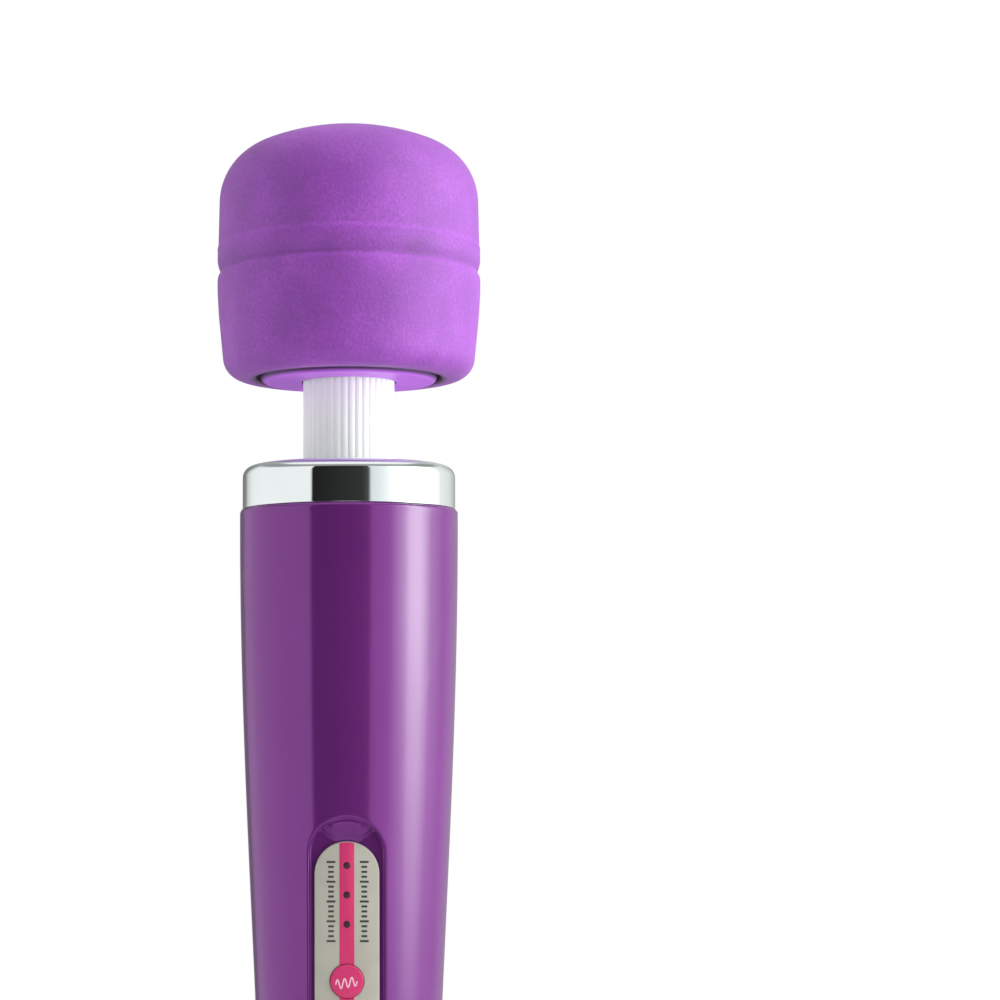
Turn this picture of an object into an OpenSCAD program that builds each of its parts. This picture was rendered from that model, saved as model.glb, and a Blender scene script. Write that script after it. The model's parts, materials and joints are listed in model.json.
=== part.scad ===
// Cordless wand massager: tapered two-shell handle, chrome collar ring, fluted flexible neck
// and a soft round head with its motor inside. Millimetres, +Z up, standing on the end cap,
// with the origin at the centre of its flat foot. The front, with the buttons, faces -Y.

/* [Handle] */
// Length of the handle from the foot to the collar ring
body_l = 223; // [215:1:240]
// Handle radius under the collar ring
body_r = 24.6; // [24:0.05:26]
// How much smaller the radius is at the waist
waist_drop = 5.8; // [4:0.1:6]
// Distance from the collar ring down to the waist
taper_l = 185; // [170:1:220]
// Wall thickness of the shells
wall = 2.2; // [1.8:0.1:2.6]
// Radius of the rounded top edge of the shells
shell_edge_r = 0.8; // [0.4:0.1:1.2]
// Height of the end cap that shows
cap_h = 9; // [7:0.5:11]
// Radius of the rounded foot edge
foot_round = 2.4; // [1.5:0.1:3]
// Floor thickness of the end cap
cap_floor = 2.5; // [2:0.1:3]

/* [Collar ring] */
// How far the collar ring is set in from the top of the handle
ring_inset = 0.6; // [0.4:0.05:1]
// Height of the collar ring
ring_h = 9.8; // [9.2:0.1:12]
// Wall thickness of the collar ring
ring_wall = 1.5; // [1.2:0.1:1.8]
// Radius of its rounded upper edge
ring_round = 2.6; // [1.6:0.1:3]

/* [Neck] */
// Outer radius of the fluted neck
neck_r = 10.35; // [9.8:0.05:11]
// Radius of the bore through the neck
neck_bore_r = 7; // [6.6:0.1:7.4]
// Length of neck that shows between the ring and the head
neck_free = 19.1; // [18:0.1:24]
// Number of flutes round the neck
flute_count = 40; // [30:1:44]
// Depth of each flute
flute_depth = 0.4; // [0.2:0.05:0.6]
// Radius of the flange at each end of the neck
flange_r = 13.6; // [13:0.1:14]
// Thickness of those flanges
flange_t = 2.5; // [2:0.1:3]
// Wire diameter of the support spring in the neck
spring_wire = 1; // [0.8:0.1:1.2]
// Number of coils of that spring
spring_coils = 9; // [6:1:10]

/* [Head] */
// Largest radius of the head
head_r = 29.85; // [29:0.05:32]
// Height of the soft cover
head_l = 57.3; // [56:0.1:60]
// Thickness of the soft cover at its side
cover_t = 3.4; // [2.8:0.1:3.6]
// Thickness of the hard head shell
shell_t = 2; // [1.6:0.1:2.2]
// Radius of the cover's lower corner
cover_corner_r = 5.4; // [4.4:0.1:5.8]
// How much narrower the cover is just above that corner
cover_taper = 1.3; // [0.8:0.1:1.8]
// Radius of the dome's rounded shoulder
shoulder_r = 14; // [12:0.2:15]
// How far the shoulder's centre lies below the top
shoulder_drop = 17.5; // [16.5:0.1:19]
// How much narrower the shoulder is than the belt
shoulder_taper = 0.6; // [0.2:0.1:1]
// Height of the dome above the groove
dome_h = 27.5; // [25:0.5:29]
// Width of the groove band round the head
groove_w = 6.5; // [5.5:0.1:8]
// Depth of that groove
groove_d = 0.7; // [0.5:0.05:1.1]
// Radius of the base plug under the head
plug_r = 20; // [19.8:0.1:21]
// How far the plug stands out below the cover
plug_drop = 0.8; // [0.6:0.1:1.4]
// Width of the ring groove between plug and cover
plug_gap = 1.1; // [0.8:0.1:1.6]

/* [Control panel] */
// Width of the panel
panel_w = 13.9; // [13.6:0.1:14.6]
// Length of the panel
panel_l = 66; // [62:1:68]
// Distance from the top of the shells down to the panel
panel_drop = 73; // [68:0.1:76]
// Thickness of the panel
panel_t = 1; // [0.8:0.1:1.2]
// Width of the recess round the panel
recess_w = 16.2; // [15.8:0.1:17.6]
// Depth of the recess at its middle
recess_d = 2.4; // [2:0.1:2.8]
// Length of the sloped scoop at each end of the recess
scoop_l = 5.4; // [4:0.2:7]
// Depth of that scoop at its far end
scoop_d = 0.7; // [0.3:0.1:1]
// Width of the coloured stripe
stripe_w = 3.2; // [2.8:0.1:3.6]
// Depth of the stripe's inlay in the panel
stripe_t = 0.4; // [0.3:0.05:0.5]
// Radius of the indicator lenses
lens_r = 0.8; // [0.6:0.05:1]
// Pitch of the indicator lenses
lens_pitch = 6.3; // [5.5:0.1:7]
// Distance from the panel's top to the first lens
lens_drop = 5.1; // [4.5:0.1:6]
// Radius of the buttons
button_r = 3.6; // [3:0.05:3.9]
// Distance from the panel's top to the mode button
button_drop = 29.9; // [27:0.1:32]
// Distance between the two buttons
button_pitch = 20; // [18:0.5:22]
// Height of a button above the panel
button_rise = 0.6; // [0.4:0.1:1]
// Travel of a button
button_travel = 0.5; // [0.3:0.05:0.6]

/* [Electronics] */
// How much smaller a battery cell's radius is than the handle's at its top
cell_room = 15.4; // [15.3:0.1:15.7]
// Length of a battery cell
cell_l = 65; // [60:0.5:66]
// Thickness of the circuit board
board_t = 1.6; // [1:0.1:1.8]
// Width of the circuit board
board_w = 16; // [15.6:0.2:17]
// Bore radius of the charging jack, for a 5.5 mm barrel plug
jack_bore_r = 2.85; // [2.8:0.01:2.9]
// Radius of the jack's centre pin
jack_pin_r = 1; // [0.9:0.05:1.1]

/* [Motor] */
// Radius of the motor can
motor_r = 13.9; // [13:0.1:14]
// Length of the motor can
motor_l = 30; // [28:0.5:31]
// Radius of the motor shaft
shaft_r = 1.15; // [1:0.05:1.3]
// Radius of the eccentric weight
weight_r = 10.8; // [9:0.1:11]
// Thickness of the eccentric weight
weight_t = 5; // [4:0.1:5.2]

/* [Hidden] */
$fn = 96;

eps = 0.01;                 // overlap that lets one boolean cut or join another cleanly
slip = 0.1;                 // clearance between parts that slide or drop into each other
bearing_gap = 0.05;         // running clearance of the motor shaft in its bushes
stations = 24;              // straight steps in the handle's profile
neck_gap = 0.3;             // clearance round the neck where it enters its holders
button_gap = 0.15;          // clearance round a button in its hole

// radii that follow the handle
ring_r = body_r - ring_inset;
cell_r = body_r - cell_room;

// stack of heights, from the foot up
ring_top = body_l + ring_h;
plug_z = ring_top + neck_free;
rim_z = plug_z + plug_drop;
head_top = rim_z + head_l;

// inside the collar ring
spigot_r = ring_r - ring_wall - slip;
spigot_wall = 2;
clamp_top = ring_top - ring_wall - 2 * slip;
clamp_skin = 1.4;           // clamp thickness over the neck flange
neck_flange_z = clamp_top - clamp_skin - flange_t;
seat_h = 5;
seat_z = neck_flange_z - seat_h;
seat_r = spigot_r - spigot_wall - slip;
seat_rib_h = 2.5;
clamp_screw_ring = (flange_r + seat_r) / 2 + 0.2;

// small screws: one family for the whole product
screw_r = 1;
screw_head_r = 1.9;
screw_head_h = 1.2;
screw_slip = 0.15;          // clearance of a screw in a hole that it only passes through
screw_bite = 3;             // how deep a small screw goes into its thread
clamp_screw_l = 6;

// shell screws and their bosses
shell_screw_r = 1.25;
shell_head_r = 2.3;
shell_head_h = 1.8;
boss_r = 3.4;
shell_screw_l = 14;
shell_screw_low = 38;       // height of the lower pair
shell_screw_drop = 33;      // how far the upper pair lies below the collar ring
shell_screw_z = [shell_screw_low, body_l - shell_screw_drop];
inset_low = 5.6;            // how far inside the handle's skin each pair sits
inset_high = 8.65;
shell_screw_x = [handle_r(shell_screw_z[0]) - inset_low, handle_r(shell_screw_z[1]) - inset_high];
shell_head_y = 6.5;         // how far behind the parting plane each head's seat lies
cap_screw_y = 10.6;
cap_screw_seat = 8;
cap_spigot_h = 6;
cap_spigot_r = poly_r(cap_h + cap_spigot_h) - wall - slip;
cap_hole_r = jack_bore_r + 0.35;
jack_plate_t = 1.2;
jack_plate_w = 8;
cap_boss_z = cap_h + cap_spigot_h + jack_plate_t;
cap_boss_h = 7;
cap_screw_l = cap_boss_z - cap_screw_seat + 6;
ring_bead_r = 0.4;          // bead on the spigot that snaps into the collar ring
ring_bead_z = body_l + 3.4;
lead_hole_r = 5.6;

// control panel: its own frame has x across, y up along the panel and z out of the front
panel_top_z = body_l - panel_drop;
panel_mid_z = panel_top_z - panel_l / 2;
panel_tilt = atan((handle_r(panel_top_z) - handle_r(panel_top_z - panel_l)) / panel_l);
panel_mid_r = handle_r(panel_mid_z);
bed_z = -recess_d - 1.8;    // underside of the bed that backs the panel
panel_face = -recess_d + panel_t;
lens_y = [for (i = [0:2]) panel_l / 2 - lens_drop - i * lens_pitch];
button_y = [for (i = [0:1]) panel_l / 2 - button_drop - i * button_pitch];
button_flange_r = button_r + 0.9;
button_flange_t = 1;
button_foot = bed_z - 2 * slip - button_flange_t;
switch_w = 6;
switch_h = 3.4;
switch_top = button_foot - button_travel - slip;
board_face = switch_top - switch_h;
board_l = panel_l + 4;
plunger_r = 1.7;
plunger_depth = 1.6;        // how far the plunger reaches into its switch at rest
led_r = 1.5;
led_h = 3;
chip_w = 6;                 // parts on the back of the board
chip_l = 8;
chip_h = 1.4;
capacitor_r = 2.6;
capacitor_h = 2.4;
coil_r = 2.2;
coil_h = 2;
board_post_r = 2;
board_post_x = board_w / 2 - 2.3;
board_post_y = board_l / 2 - 2.6;

// battery and jack
jack_z = cap_floor;
jack_r = 4.5;
jack_l = cap_h + cap_spigot_h - jack_z;
jack_back = 1.6;
battery_z = 34;
battery_y = 4.6;
contact_t = 0.5;
tray_t = 1;
tray_angle = 58;            // half of the arc that the tray wraps round the cells
tray_wall_t = 1.2;
tray_ear_angle = 24;
tray_ear_l = 7;
battery_l = 2 * cell_l + 3 * contact_t;
battery_top = battery_z + battery_l + tray_wall_t;
tray_back_y = battery_y + cell_r + slip;
tray_screw_z = [battery_z - tray_wall_t - tray_ear_l / 2, battery_top + tray_ear_l / 2];
tray_screw_l = 3.6;

// inside the head
shell_r = head_r - cover_t;
shell_in_r = shell_r - shell_t;
lip_h = 3.4;                // height of the cover's lip under the head shell
shell_z = rim_z + lip_h;
shell_top = head_top - cover_t;
base_h = 4.6;               // height of the base plug inside the shell
base_top = shell_z + base_h;
snap_r = 0.5;               // annular snap bead that holds the shell on the base
head_flange_z = plug_z + 3.9;
retainer_z = head_flange_z + flange_t;
retainer_t = 1.1;
retainer_r = 18;
retainer_screw_ring = (flange_r + retainer_r) / 2 + 0.1;
cradle_flange_t = 2.5;
cradle_wall = 2.4;
window_w = 8;               // cooling windows in the cradle's wall
window_foot = 5;
cradle_screw_ring = shell_in_r - 3.2;
motor_z = base_top + 2;
motor_top = motor_z + motor_l;
can_t = 1;
can_boss_r = 4.5;
can_boss_h = 1.5;
plate_t = 2;
plate_post_r = 2.6;
plate_post_ring = motor_r + slip + cradle_wall + plate_post_r - 1;
plate_r = plate_post_ring + plate_post_r;
motor_screw_ring = 8.2;
weight_z = motor_top + plate_t + screw_head_h + 0.3;
shaft_top = weight_z + weight_t + 1;
bush_r = 3;
hub_r = 3.6;                // hub of the weight, with a set screw in its side
set_screw_l = 3.4;
bell_t = 3.2;
magnet_t = 2.1;
magnet_foot = 6;            // free space in the can under and over the magnets
magnet_head = 4;
stack_foot = 8;             // the same for the armature's stack
stack_head = 6;
stack_l = motor_l - stack_foot - stack_head;
commutator_l = 5;
commutator_gap = 0.6;
magnet_angle = 64;          // half of the arc of one magnet
armature_r = motor_r - can_t - magnet_t - 0.5;
lead_r = 0.75;
lead_joint = 11;            // how far from the board's ends the leads join it
lead_loop = 3.4;            // how far behind the board the leads run
charge_loop = 2.6;
charge_lead_x = 5;          // half the distance between the leads of each pair
supply_lead_x = 3;
motor_lead_x = 6;
jack_lead_x = 2;
lead_bend = 40;             // how far below the collar ring the motor's leads turn inwards
lead_drop = 12;             // straight end of those leads under the neck's seat
lead_x = 2.2;
lead_y = 1;
terminal_x = 4.6;
terminal_z = motor_z - 1.6;
terminal_w = 2.4;
terminal_t = 0.6;
terminal_l = 4;
dome_corner_x = head_r - shoulder_taper - shoulder_r;
crown_r = (pow(dome_corner_x, 2) + pow(shoulder_drop, 2) - pow(shoulder_r, 2))
    / (2 * (shoulder_drop - shoulder_r));
crown_angle = atan2(crown_r - shoulder_drop, dome_corner_x);

// ---- helpers --------------------------------------------------------------------------

// Radius of the handle at height z: a cosine from the collar ring down to the waist.
function handle_r(z) = body_r - waist_drop * (1 - cos(180 * (body_l - z) / taper_l)) / 2;

// The same radius along straight steps, so that every part meets the same flats.
function poly_r(z) = let (step = body_l / stations, i = floor(z / step), f = z / step - i)
    handle_r(i * step) * (1 - f) + handle_r((i + 1) * step) * f;

// Points on the handle's surface from z0 up to z1, moved inwards by d.
function handle_curve(z0, z1, d) = let (step = body_l / stations) concat(
    [[poly_r(z0) - d, z0]],
    [for (i = [ceil(z0 / step + 0.05):floor(z1 / step - 0.05)]) [handle_r(i * step) - d, i * step]],
    [[poly_r(z1) - d, z1]]);

// Points on an arc, from angle a0 to a1.
function arc(x, y, r, a0, a1, n = 8) =
    [for (i = [0:n]) let (a = a0 + (a1 - a0) * i / n) [x + r * cos(a), y + r * sin(a)]];

// Dome of the head, moved inwards by d: a round shoulder that runs into a flatter crown.
function dome(d) = concat(
    arc(dome_corner_x, head_top - shoulder_drop, shoulder_r - d, 0, crown_angle, 12),
    arc(0, head_top - crown_r, crown_r - d, crown_angle + 3, 90, 6));

function reversed(list) = [for (i = [len(list) - 1:-1:0]) list[i]];

// A washer or a disc: outer radius, inner radius, height.
module tube(ro, ri, h) {
    difference() {
        cylinder(r = ro, h = h);
        translate([0, 0, -1]) cylinder(r = ri, h = h + 2);
    }
}

// n copies on a circle of radius r, the first at angle start.
module around(n, r, start = 0) {
    for (i = [0:n - 1]) rotate(start + 360 * i / n) translate([r, 0, 0]) children();
}

// The control panel's own frame: y runs up the panel and z out of the handle's front.
module on_panel() {
    translate([0, -panel_mid_r, panel_mid_z]) rotate([90 + panel_tilt, 0, 0]) children();
}

// Outline with two straight sides and two round ends.
module racetrack(w, l) {
    square([w, l - w], center = true);
    for (s = [-1, 1]) translate([0, s * (l - w) / 2]) circle(r = w / 2);
}

// A pan-head screw, driven along +Z: its head lies below z = 0 and its shank above.
module screw(r, head_r, head_h, l) {
    difference() {
        translate([0, 0, -head_h]) cylinder(r = head_r, h = head_h);
        for (a = [0, 90]) rotate(a)
            translate([-head_r * 0.6, -0.25, -head_h - 1]) cube([head_r * 1.2, 0.5, 1.5]);
    }
    cylinder(r = r, h = l);
}

// An insulated wire along a list of points: straight runs joined by slightly larger balls.
module wire(points) {
    for (i = [0:len(points) - 2]) {
        run = points[i + 1] - points[i];
        translate(points[i])
            rotate([0, acos(run.z / norm(run)), atan2(run.y, run.x)])
                cylinder(r = lead_r, h = norm(run));
    }
    for (i = [1:1:len(points) - 2]) translate(points[i]) sphere(r = lead_r + 0.05);
}

// Where the circuit board's back lies at height z.
function board_back(z) = -panel_mid_r + (board_t - board_face) / cos(panel_tilt)
    - (z - panel_mid_z) * tan(panel_tilt);

// ---- handle ---------------------------------------------------------------------------

module handle_solid(z0, z1, d) {
    rotate_extrude() polygon(concat([[0, z0]], handle_curve(z0, z1, d), [[0, z1]]));
}

// Section of the two shells: outer skin, rounded edge, spigot, seat for the neck, inner skin.
function shell_section() = let (
        ledge_r = seat_r - 3.5,
        ledge_z = seat_z - seat_rib_h,
        foot_z = ledge_z - (body_r - wall - ledge_r))
    concat(
        handle_curve(cap_h, body_l - 4, 0),
        arc(body_r - shell_edge_r, body_l - shell_edge_r, shell_edge_r, 0, 90, 6),
        [[spigot_r, body_l], [spigot_r, clamp_top], [spigot_r - spigot_wall, clamp_top]],
        [[spigot_r - spigot_wall, seat_z], [ledge_r, seat_z], [ledge_r, ledge_z]],
        reversed(handle_curve(cap_h, foot_z, wall)));

// The recess round the panel: a flat floor with a sloped scoop at each end.
module recess_cut() {
    length = panel_l + 2 * scoop_l;
    half = panel_l / 2 + 0.3;
    intersection() {
        translate([0, 0, -recess_d - 1]) linear_extrude(recess_d + 6) racetrack(recess_w, length);
        rotate([90, 0, 90]) translate([0, 0, -recess_w]) linear_extrude(2 * recess_w)
            polygon([
                [-half - scoop_l, -scoop_d], [-half, -recess_d], [half, -recess_d],
                [half + scoop_l, -scoop_d], [half + scoop_l, 5], [-half - scoop_l, 5],
            ]);
    }
}

module panel_holes(r_lens, r_button) {
    for (y = lens_y) translate([0, y, bed_z - 1]) cylinder(r = r_lens, h = 6);
    for (y = button_y) translate([0, y, bed_z - 1]) cylinder(r = r_button, h = 6);
}

module shell_tube() {
    rotate_extrude() {
        polygon(shell_section());
        translate([spigot_r, ring_bead_z]) circle(r = ring_bead_r, $fn = 24);
    }
}

// Everything in front of the parting plane, or behind it.
module half_space(side) {
    translate([-2 * body_r, side > 0 ? 0 : -4 * body_r, 0]) cube([4 * body_r, 4 * body_r, ring_top]);
}

module shell_bosses(side) {
    intersection() {
        for (i = [0, 1], s = [-1, 1]) translate([s * shell_screw_x[i], 0, shell_screw_z[i]])
            rotate([-90 * side, 0, 0]) cylinder(r = boss_r, h = body_r);
        handle_solid(cap_h, body_l, wall / 2);
    }
}

module front_shell() color("rebeccapurple") difference() {
    union() {
        intersection() {
            shell_tube();
            half_space(-1);
        }
        // bed that backs the panel, and the posts that carry the circuit board
        intersection() {
            on_panel() translate([0, 0, bed_z]) linear_extrude(-bed_z)
                racetrack(recess_w + 2.4, panel_l + 2 * scoop_l + 2.4);
            handle_solid(cap_h, body_l, wall / 2);
        }
        on_panel() for (sx = [-1, 1], sy = [-1, 1])
            translate([sx * board_post_x, sy * board_post_y, board_face])
                cylinder(r = board_post_r, h = bed_z - board_face + eps);
        shell_bosses(-1);
        cap_boss(-1);
    }
    on_panel() {
        recess_cut();
        panel_holes(lens_r + slip / 2, button_r + button_gap);
        for (sx = [-1, 1], sy = [-1, 1])
            translate([sx * board_post_x, sy * board_post_y, board_face - 1])
                cylinder(r = screw_r, h = 4.5);
    }
    for (i = [0, 1], s = [-1, 1]) translate([s * shell_screw_x[i], 1, shell_screw_z[i]])
        rotate([90, 0, 0]) cylinder(r = shell_screw_r, h = 1 + shell_screw_l - shell_head_y);
    cap_screw_hole(-1);
}

module rear_shell() color("rebeccapurple") difference() {
    union() {
        intersection() {
            shell_tube();
            half_space(1);
        }
        shell_bosses(1);
        cap_boss(1);
        // two pads that the battery tray is screwed to
        intersection() {
            for (z = tray_screw_z) translate([0, tray_back_y, z]) rotate([-90, 0, 0])
                cylinder(r = boss_r, h = body_r);
            handle_solid(cap_h, body_l, wall / 2);
        }
    }
    translate([0, battery_y, battery_z - 2 * tray_ear_l])
        cylinder(r = cell_r + slip + tray_t, h = battery_l + 4 * tray_ear_l);
    for (z = tray_screw_z) translate([0, tray_back_y, z]) rotate([-90, 0, 0])
        cylinder(r = screw_r, h = tray_screw_l);
    for (i = [0, 1], s = [-1, 1]) translate([s * shell_screw_x[i], 0, shell_screw_z[i]])
        rotate([-90, 0, 0]) {
            translate([0, 0, -1]) cylinder(r = shell_screw_r + screw_slip, h = body_r);
            translate([0, 0, shell_head_y]) cylinder(r = shell_head_r + screw_slip, h = body_r);
        }
    cap_screw_hole(1);
}

// Boss for an end cap screw, joined to the shell's wall by a web.
module cap_boss(side) {
    intersection() {
        translate([0, side * cap_screw_y, cap_boss_z]) {
            cylinder(r = boss_r, h = cap_boss_h);
            translate([-boss_r, side > 0 ? 0 : -body_r, 0]) cube([2 * boss_r, body_r, cap_boss_h]);
        }
        handle_solid(cap_h, body_l, wall / 2);
    }
}

module cap_screw_hole(side) {
    translate([0, side * cap_screw_y, cap_boss_z - 1]) cylinder(r = shell_screw_r, h = cap_boss_h);
}

module end_cap() color("rebeccapurple") difference() {
    union() {
        rotate_extrude() polygon(concat(
            [[0, 0]],
            arc(poly_r(foot_round) - foot_round, foot_round, foot_round, -90, 0, 6),
            handle_curve(foot_round + 1, cap_h, 0), [[0, cap_h]]));
        translate([0, 0, cap_h - 1]) cylinder(r = cap_spigot_r, h = cap_spigot_h + 1);
    }
    // hollow for the jack, the plug's opening and two screw channels
    translate([0, 0, jack_z]) cylinder(r = jack_r + slip, h = cap_h + cap_spigot_h);
    translate([0, 0, -1]) cylinder(r = cap_hole_r, h = cap_floor + 2);
    for (s = [-1, 1]) translate([0, s * cap_screw_y, -1]) {
        cylinder(r = shell_screw_r + screw_slip, h = cap_h + cap_spigot_h + 2);
        cylinder(r = shell_head_r + screw_slip, h = 1 + cap_screw_seat);
    }
}

// Bar across the end cap that keeps the jack down.
module jack_plate() color("dimgray") translate([0, 0, cap_h + cap_spigot_h]) difference() {
    linear_extrude(jack_plate_t) racetrack(jack_plate_w, 2 * cap_screw_y + jack_plate_w);
    for (s = [-1, 1]) {
        translate([0, s * cap_screw_y, -1]) cylinder(r = shell_screw_r + screw_slip, h = jack_plate_t + 2);
        translate([s * jack_lead_x, 0, -1]) cylinder(r = lead_r + 2 * slip, h = jack_plate_t + 2);
    }
}

module end_cap_screws() color("silver")
    for (s = [-1, 1]) translate([0, s * cap_screw_y, cap_screw_seat])
        screw(shell_screw_r, shell_head_r, shell_head_h, cap_screw_l);

module shell_screws() color("silver")
    for (i = [0, 1], s = [-1, 1])
        translate([s * shell_screw_x[i], shell_head_y, shell_screw_z[i]]) rotate([90, 0, 0])
            screw(shell_screw_r, shell_head_r, shell_head_h, shell_screw_l);

// Cup that stands on the shells and snaps over their spigot.
module collar_ring() color("gainsboro") rotate_extrude() difference() {
    polygon(concat(
        [[neck_r + 0.5, body_l], [ring_r, body_l]],
        arc(ring_r - ring_round, ring_top - ring_round, ring_round, 0, 90),
        [[neck_r + 0.5, ring_top]]));
    translate([0, body_l - 1]) square([spigot_r + slip, ring_h - ring_wall + 1]);
    translate([spigot_r, ring_bead_z]) circle(r = ring_bead_r + slip, $fn = 24);
}

module neck_seat() color("dimgray") difference() {
    translate([0, 0, seat_z]) cylinder(r = seat_r, h = seat_h);
    translate([0, 0, seat_z - 1]) cylinder(r = lead_hole_r, h = seat_h + 2);
    // spring pocket
    translate([0, 0, seat_z + 2]) cylinder(r = neck_bore_r + neck_gap, h = seat_h);
    around(3, clamp_screw_ring, 90) translate([0, 0, seat_z + 1]) cylinder(r = screw_r, h = seat_h);
}

module neck_clamp() color("dimgray") difference() {
    translate([0, 0, neck_flange_z]) cylinder(r = seat_r - slip, h = clamp_top - neck_flange_z);
    translate([0, 0, neck_flange_z - 1]) cylinder(r = flange_r + neck_gap, h = flange_t + 1);
    translate([0, 0, neck_flange_z]) cylinder(r = neck_r + neck_gap, h = clamp_top);
    around(3, clamp_screw_ring, 90) translate([0, 0, neck_flange_z - 1]) {
        cylinder(r = screw_r + screw_slip, h = clamp_top);
        translate([0, 0, clamp_top - neck_flange_z - screw_head_h - slip + 1])
            cylinder(r = screw_head_r + screw_slip, h = clamp_top);
    }
}

module neck_clamp_screws() color("silver")
    around(3, clamp_screw_ring, 90) translate([0, 0, clamp_top - screw_head_h - slip]) rotate([180, 0, 0])
        screw(screw_r, screw_head_r, screw_head_h, clamp_screw_l);

// ---- control panel --------------------------------------------------------------------

module control_panel() color("silver") on_panel() difference() {
    translate([0, 0, -recess_d]) linear_extrude(panel_t) racetrack(panel_w, panel_l);
    panel_holes(lens_r + slip / 2, button_r + button_gap);
    translate([0, 0, panel_face - stripe_t]) linear_extrude(stripe_t + 1) stripe_outline();
}

// The stripe runs the whole length of the panel and under both buttons.
module stripe_outline() {
    intersection() {
        square([stripe_w, panel_l], center = true);
        racetrack(panel_w, panel_l);
    }
}

module panel_stripe() color("deeppink") on_panel() difference() {
    translate([0, 0, panel_face - stripe_t]) linear_extrude(stripe_t) stripe_outline();
    panel_holes(lens_r + slip / 2, button_r + button_gap);
}

module indicator_lens(i) color("black") on_panel() translate([0, lens_y[i], 0]) {
    translate([0, 0, board_face + led_h + 0.2])
        cylinder(r = lens_r, h = panel_face - board_face - led_h - 0.2);
    // low dome, cut from a ball
    intersection() {
        translate([0, 0, panel_face + 0.25 - 2 * lens_r]) sphere(r = 2 * lens_r);
        translate([0, 0, panel_face - eps]) cylinder(r = lens_r, h = 2);
    }
}
module indicator_lens_1() { indicator_lens(0); }
module indicator_lens_2() { indicator_lens(1); }
module indicator_lens_3() { indicator_lens(2); }

// Round key with a slightly crowned top and a flange that the bed holds in.
module button(i) color("deeppink") on_panel() translate([0, button_y[i], 0]) {
    top = panel_face + button_rise;
    crown = 6 * button_r;
    intersection() {
        translate([0, 0, button_foot]) cylinder(r = button_r, h = top - button_foot);
        translate([0, 0, top - crown]) sphere(r = crown);
    }
    translate([0, 0, button_foot]) cylinder(r = button_flange_r, h = button_flange_t);
}
module mode_button() { button(0); }
module power_button() { button(1); }

module switch_plunger(i) color("black") on_panel()
    translate([0, button_y[i], button_foot - button_travel - slip - plunger_depth])
        cylinder(r = plunger_r, h = button_travel + slip + plunger_depth);
module mode_switch_plunger() { switch_plunger(0); }
module power_switch_plunger() { switch_plunger(1); }

module tactile_switches() color("darkslategray") on_panel()
    for (y = button_y) translate([0, y, board_face]) difference() {
        translate([-switch_w / 2, -switch_w / 2, 0]) cube([switch_w, switch_w, switch_h]);
        translate([0, 0, switch_h - plunger_depth - button_travel - slip])
            cylinder(r = plunger_r + slip, h = switch_h);
    }

module indicator_leds() color("white") on_panel()
    for (y = lens_y) translate([0, y, board_face]) {
        cylinder(r = led_r, h = led_h - led_r / 2);
        cylinder(r = led_r * 0.7, h = led_h);
    }

module circuit_board() color("darkgreen") on_panel() difference() {
    translate([-board_w / 2, -board_l / 2, board_face - board_t]) cube([board_w, board_l, board_t]);
    for (sx = [-1, 1], sy = [-1, 1])
        translate([sx * board_post_x, sy * board_post_y, board_face - board_t - 1])
            cylinder(r = screw_r + screw_slip, h = board_t + 2);
}

module board_screws() color("silver") on_panel()
    for (sx = [-1, 1], sy = [-1, 1])
        translate([sx * board_post_x, sy * board_post_y, board_face - board_t])
            screw(screw_r, screw_head_r, screw_head_h, board_t + screw_bite);

// Driver chip, two power transistors, a capacitor and a coil on the back of the board.
module board_components() color("black") on_panel() translate([0, 0, board_face - board_t]) {
    translate([-chip_w / 2, -chip_l / 2, -chip_h]) cube([chip_w, chip_l, chip_h]);
    for (s = [-1, 1]) translate([s * chip_w * 2 / 3 - chip_w / 4, chip_l, -chip_h])
        cube([chip_w / 2, chip_l * 0.4, chip_h]);
    translate([0, -board_l / 5, -capacitor_h]) cylinder(r = capacitor_r, h = capacitor_h);
    translate([0, board_l / 4, -coil_h]) cylinder(r = coil_r, h = coil_h);
}

// ---- battery and charging jack --------------------------------------------------------

module battery_cell(i) color("steelblue")
    translate([0, battery_y, battery_z + contact_t + i * (cell_l + contact_t)]) {
        cylinder(r = cell_r, h = cell_l - 1.2);
        cylinder(r = cell_r * 0.35, h = cell_l);
    }
module battery_cell_lower() { battery_cell(0); }
module battery_cell_upper() { battery_cell(1); }

module battery_contacts() color("silver")
    for (i = [0:2]) translate([0, battery_y, battery_z + i * (cell_l + contact_t)])
        cylinder(r = cell_r * 0.8, h = contact_t);

// Part of a tube round the cells, with a wall and a screw ear at each end.
module battery_tray() color("dimgray") difference() {
    translate([0, battery_y, battery_z - tray_wall_t]) {
        rotate(90 - tray_angle) rotate_extrude(angle = 2 * tray_angle)
            translate([cell_r + slip, 0]) square([tray_t, battery_l + 2 * tray_wall_t]);
        translate([0, 0, -tray_ear_l]) rotate(90 - tray_ear_angle)
            rotate_extrude(angle = 2 * tray_ear_angle) translate([cell_r + slip, 0])
                square([tray_t, battery_l + 2 * (tray_wall_t + tray_ear_l)]);
        for (z = [0, battery_l + tray_wall_t]) translate([0, 0, z]) intersection() {
            cylinder(r = cell_r + slip + tray_t / 2, h = tray_wall_t);
            translate([-cell_r, -cell_r * 0.55, -1]) cube([2 * cell_r, 3 * cell_r, tray_wall_t + 2]);
        }
    }
    for (z = tray_screw_z) translate([0, tray_back_y, z]) rotate([-90, 0, 0]) {
        translate([0, 0, -1]) cylinder(r = screw_r + screw_slip, h = 4);
        translate([0, 0, -3]) cylinder(r = screw_head_r + screw_slip, h = 3);
    }
}

module tray_screws() color("silver")
    for (z = tray_screw_z) translate([0, tray_back_y, z]) rotate([-90, 0, 0])
        screw(screw_r, screw_head_r, screw_head_h, tray_screw_l);

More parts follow.
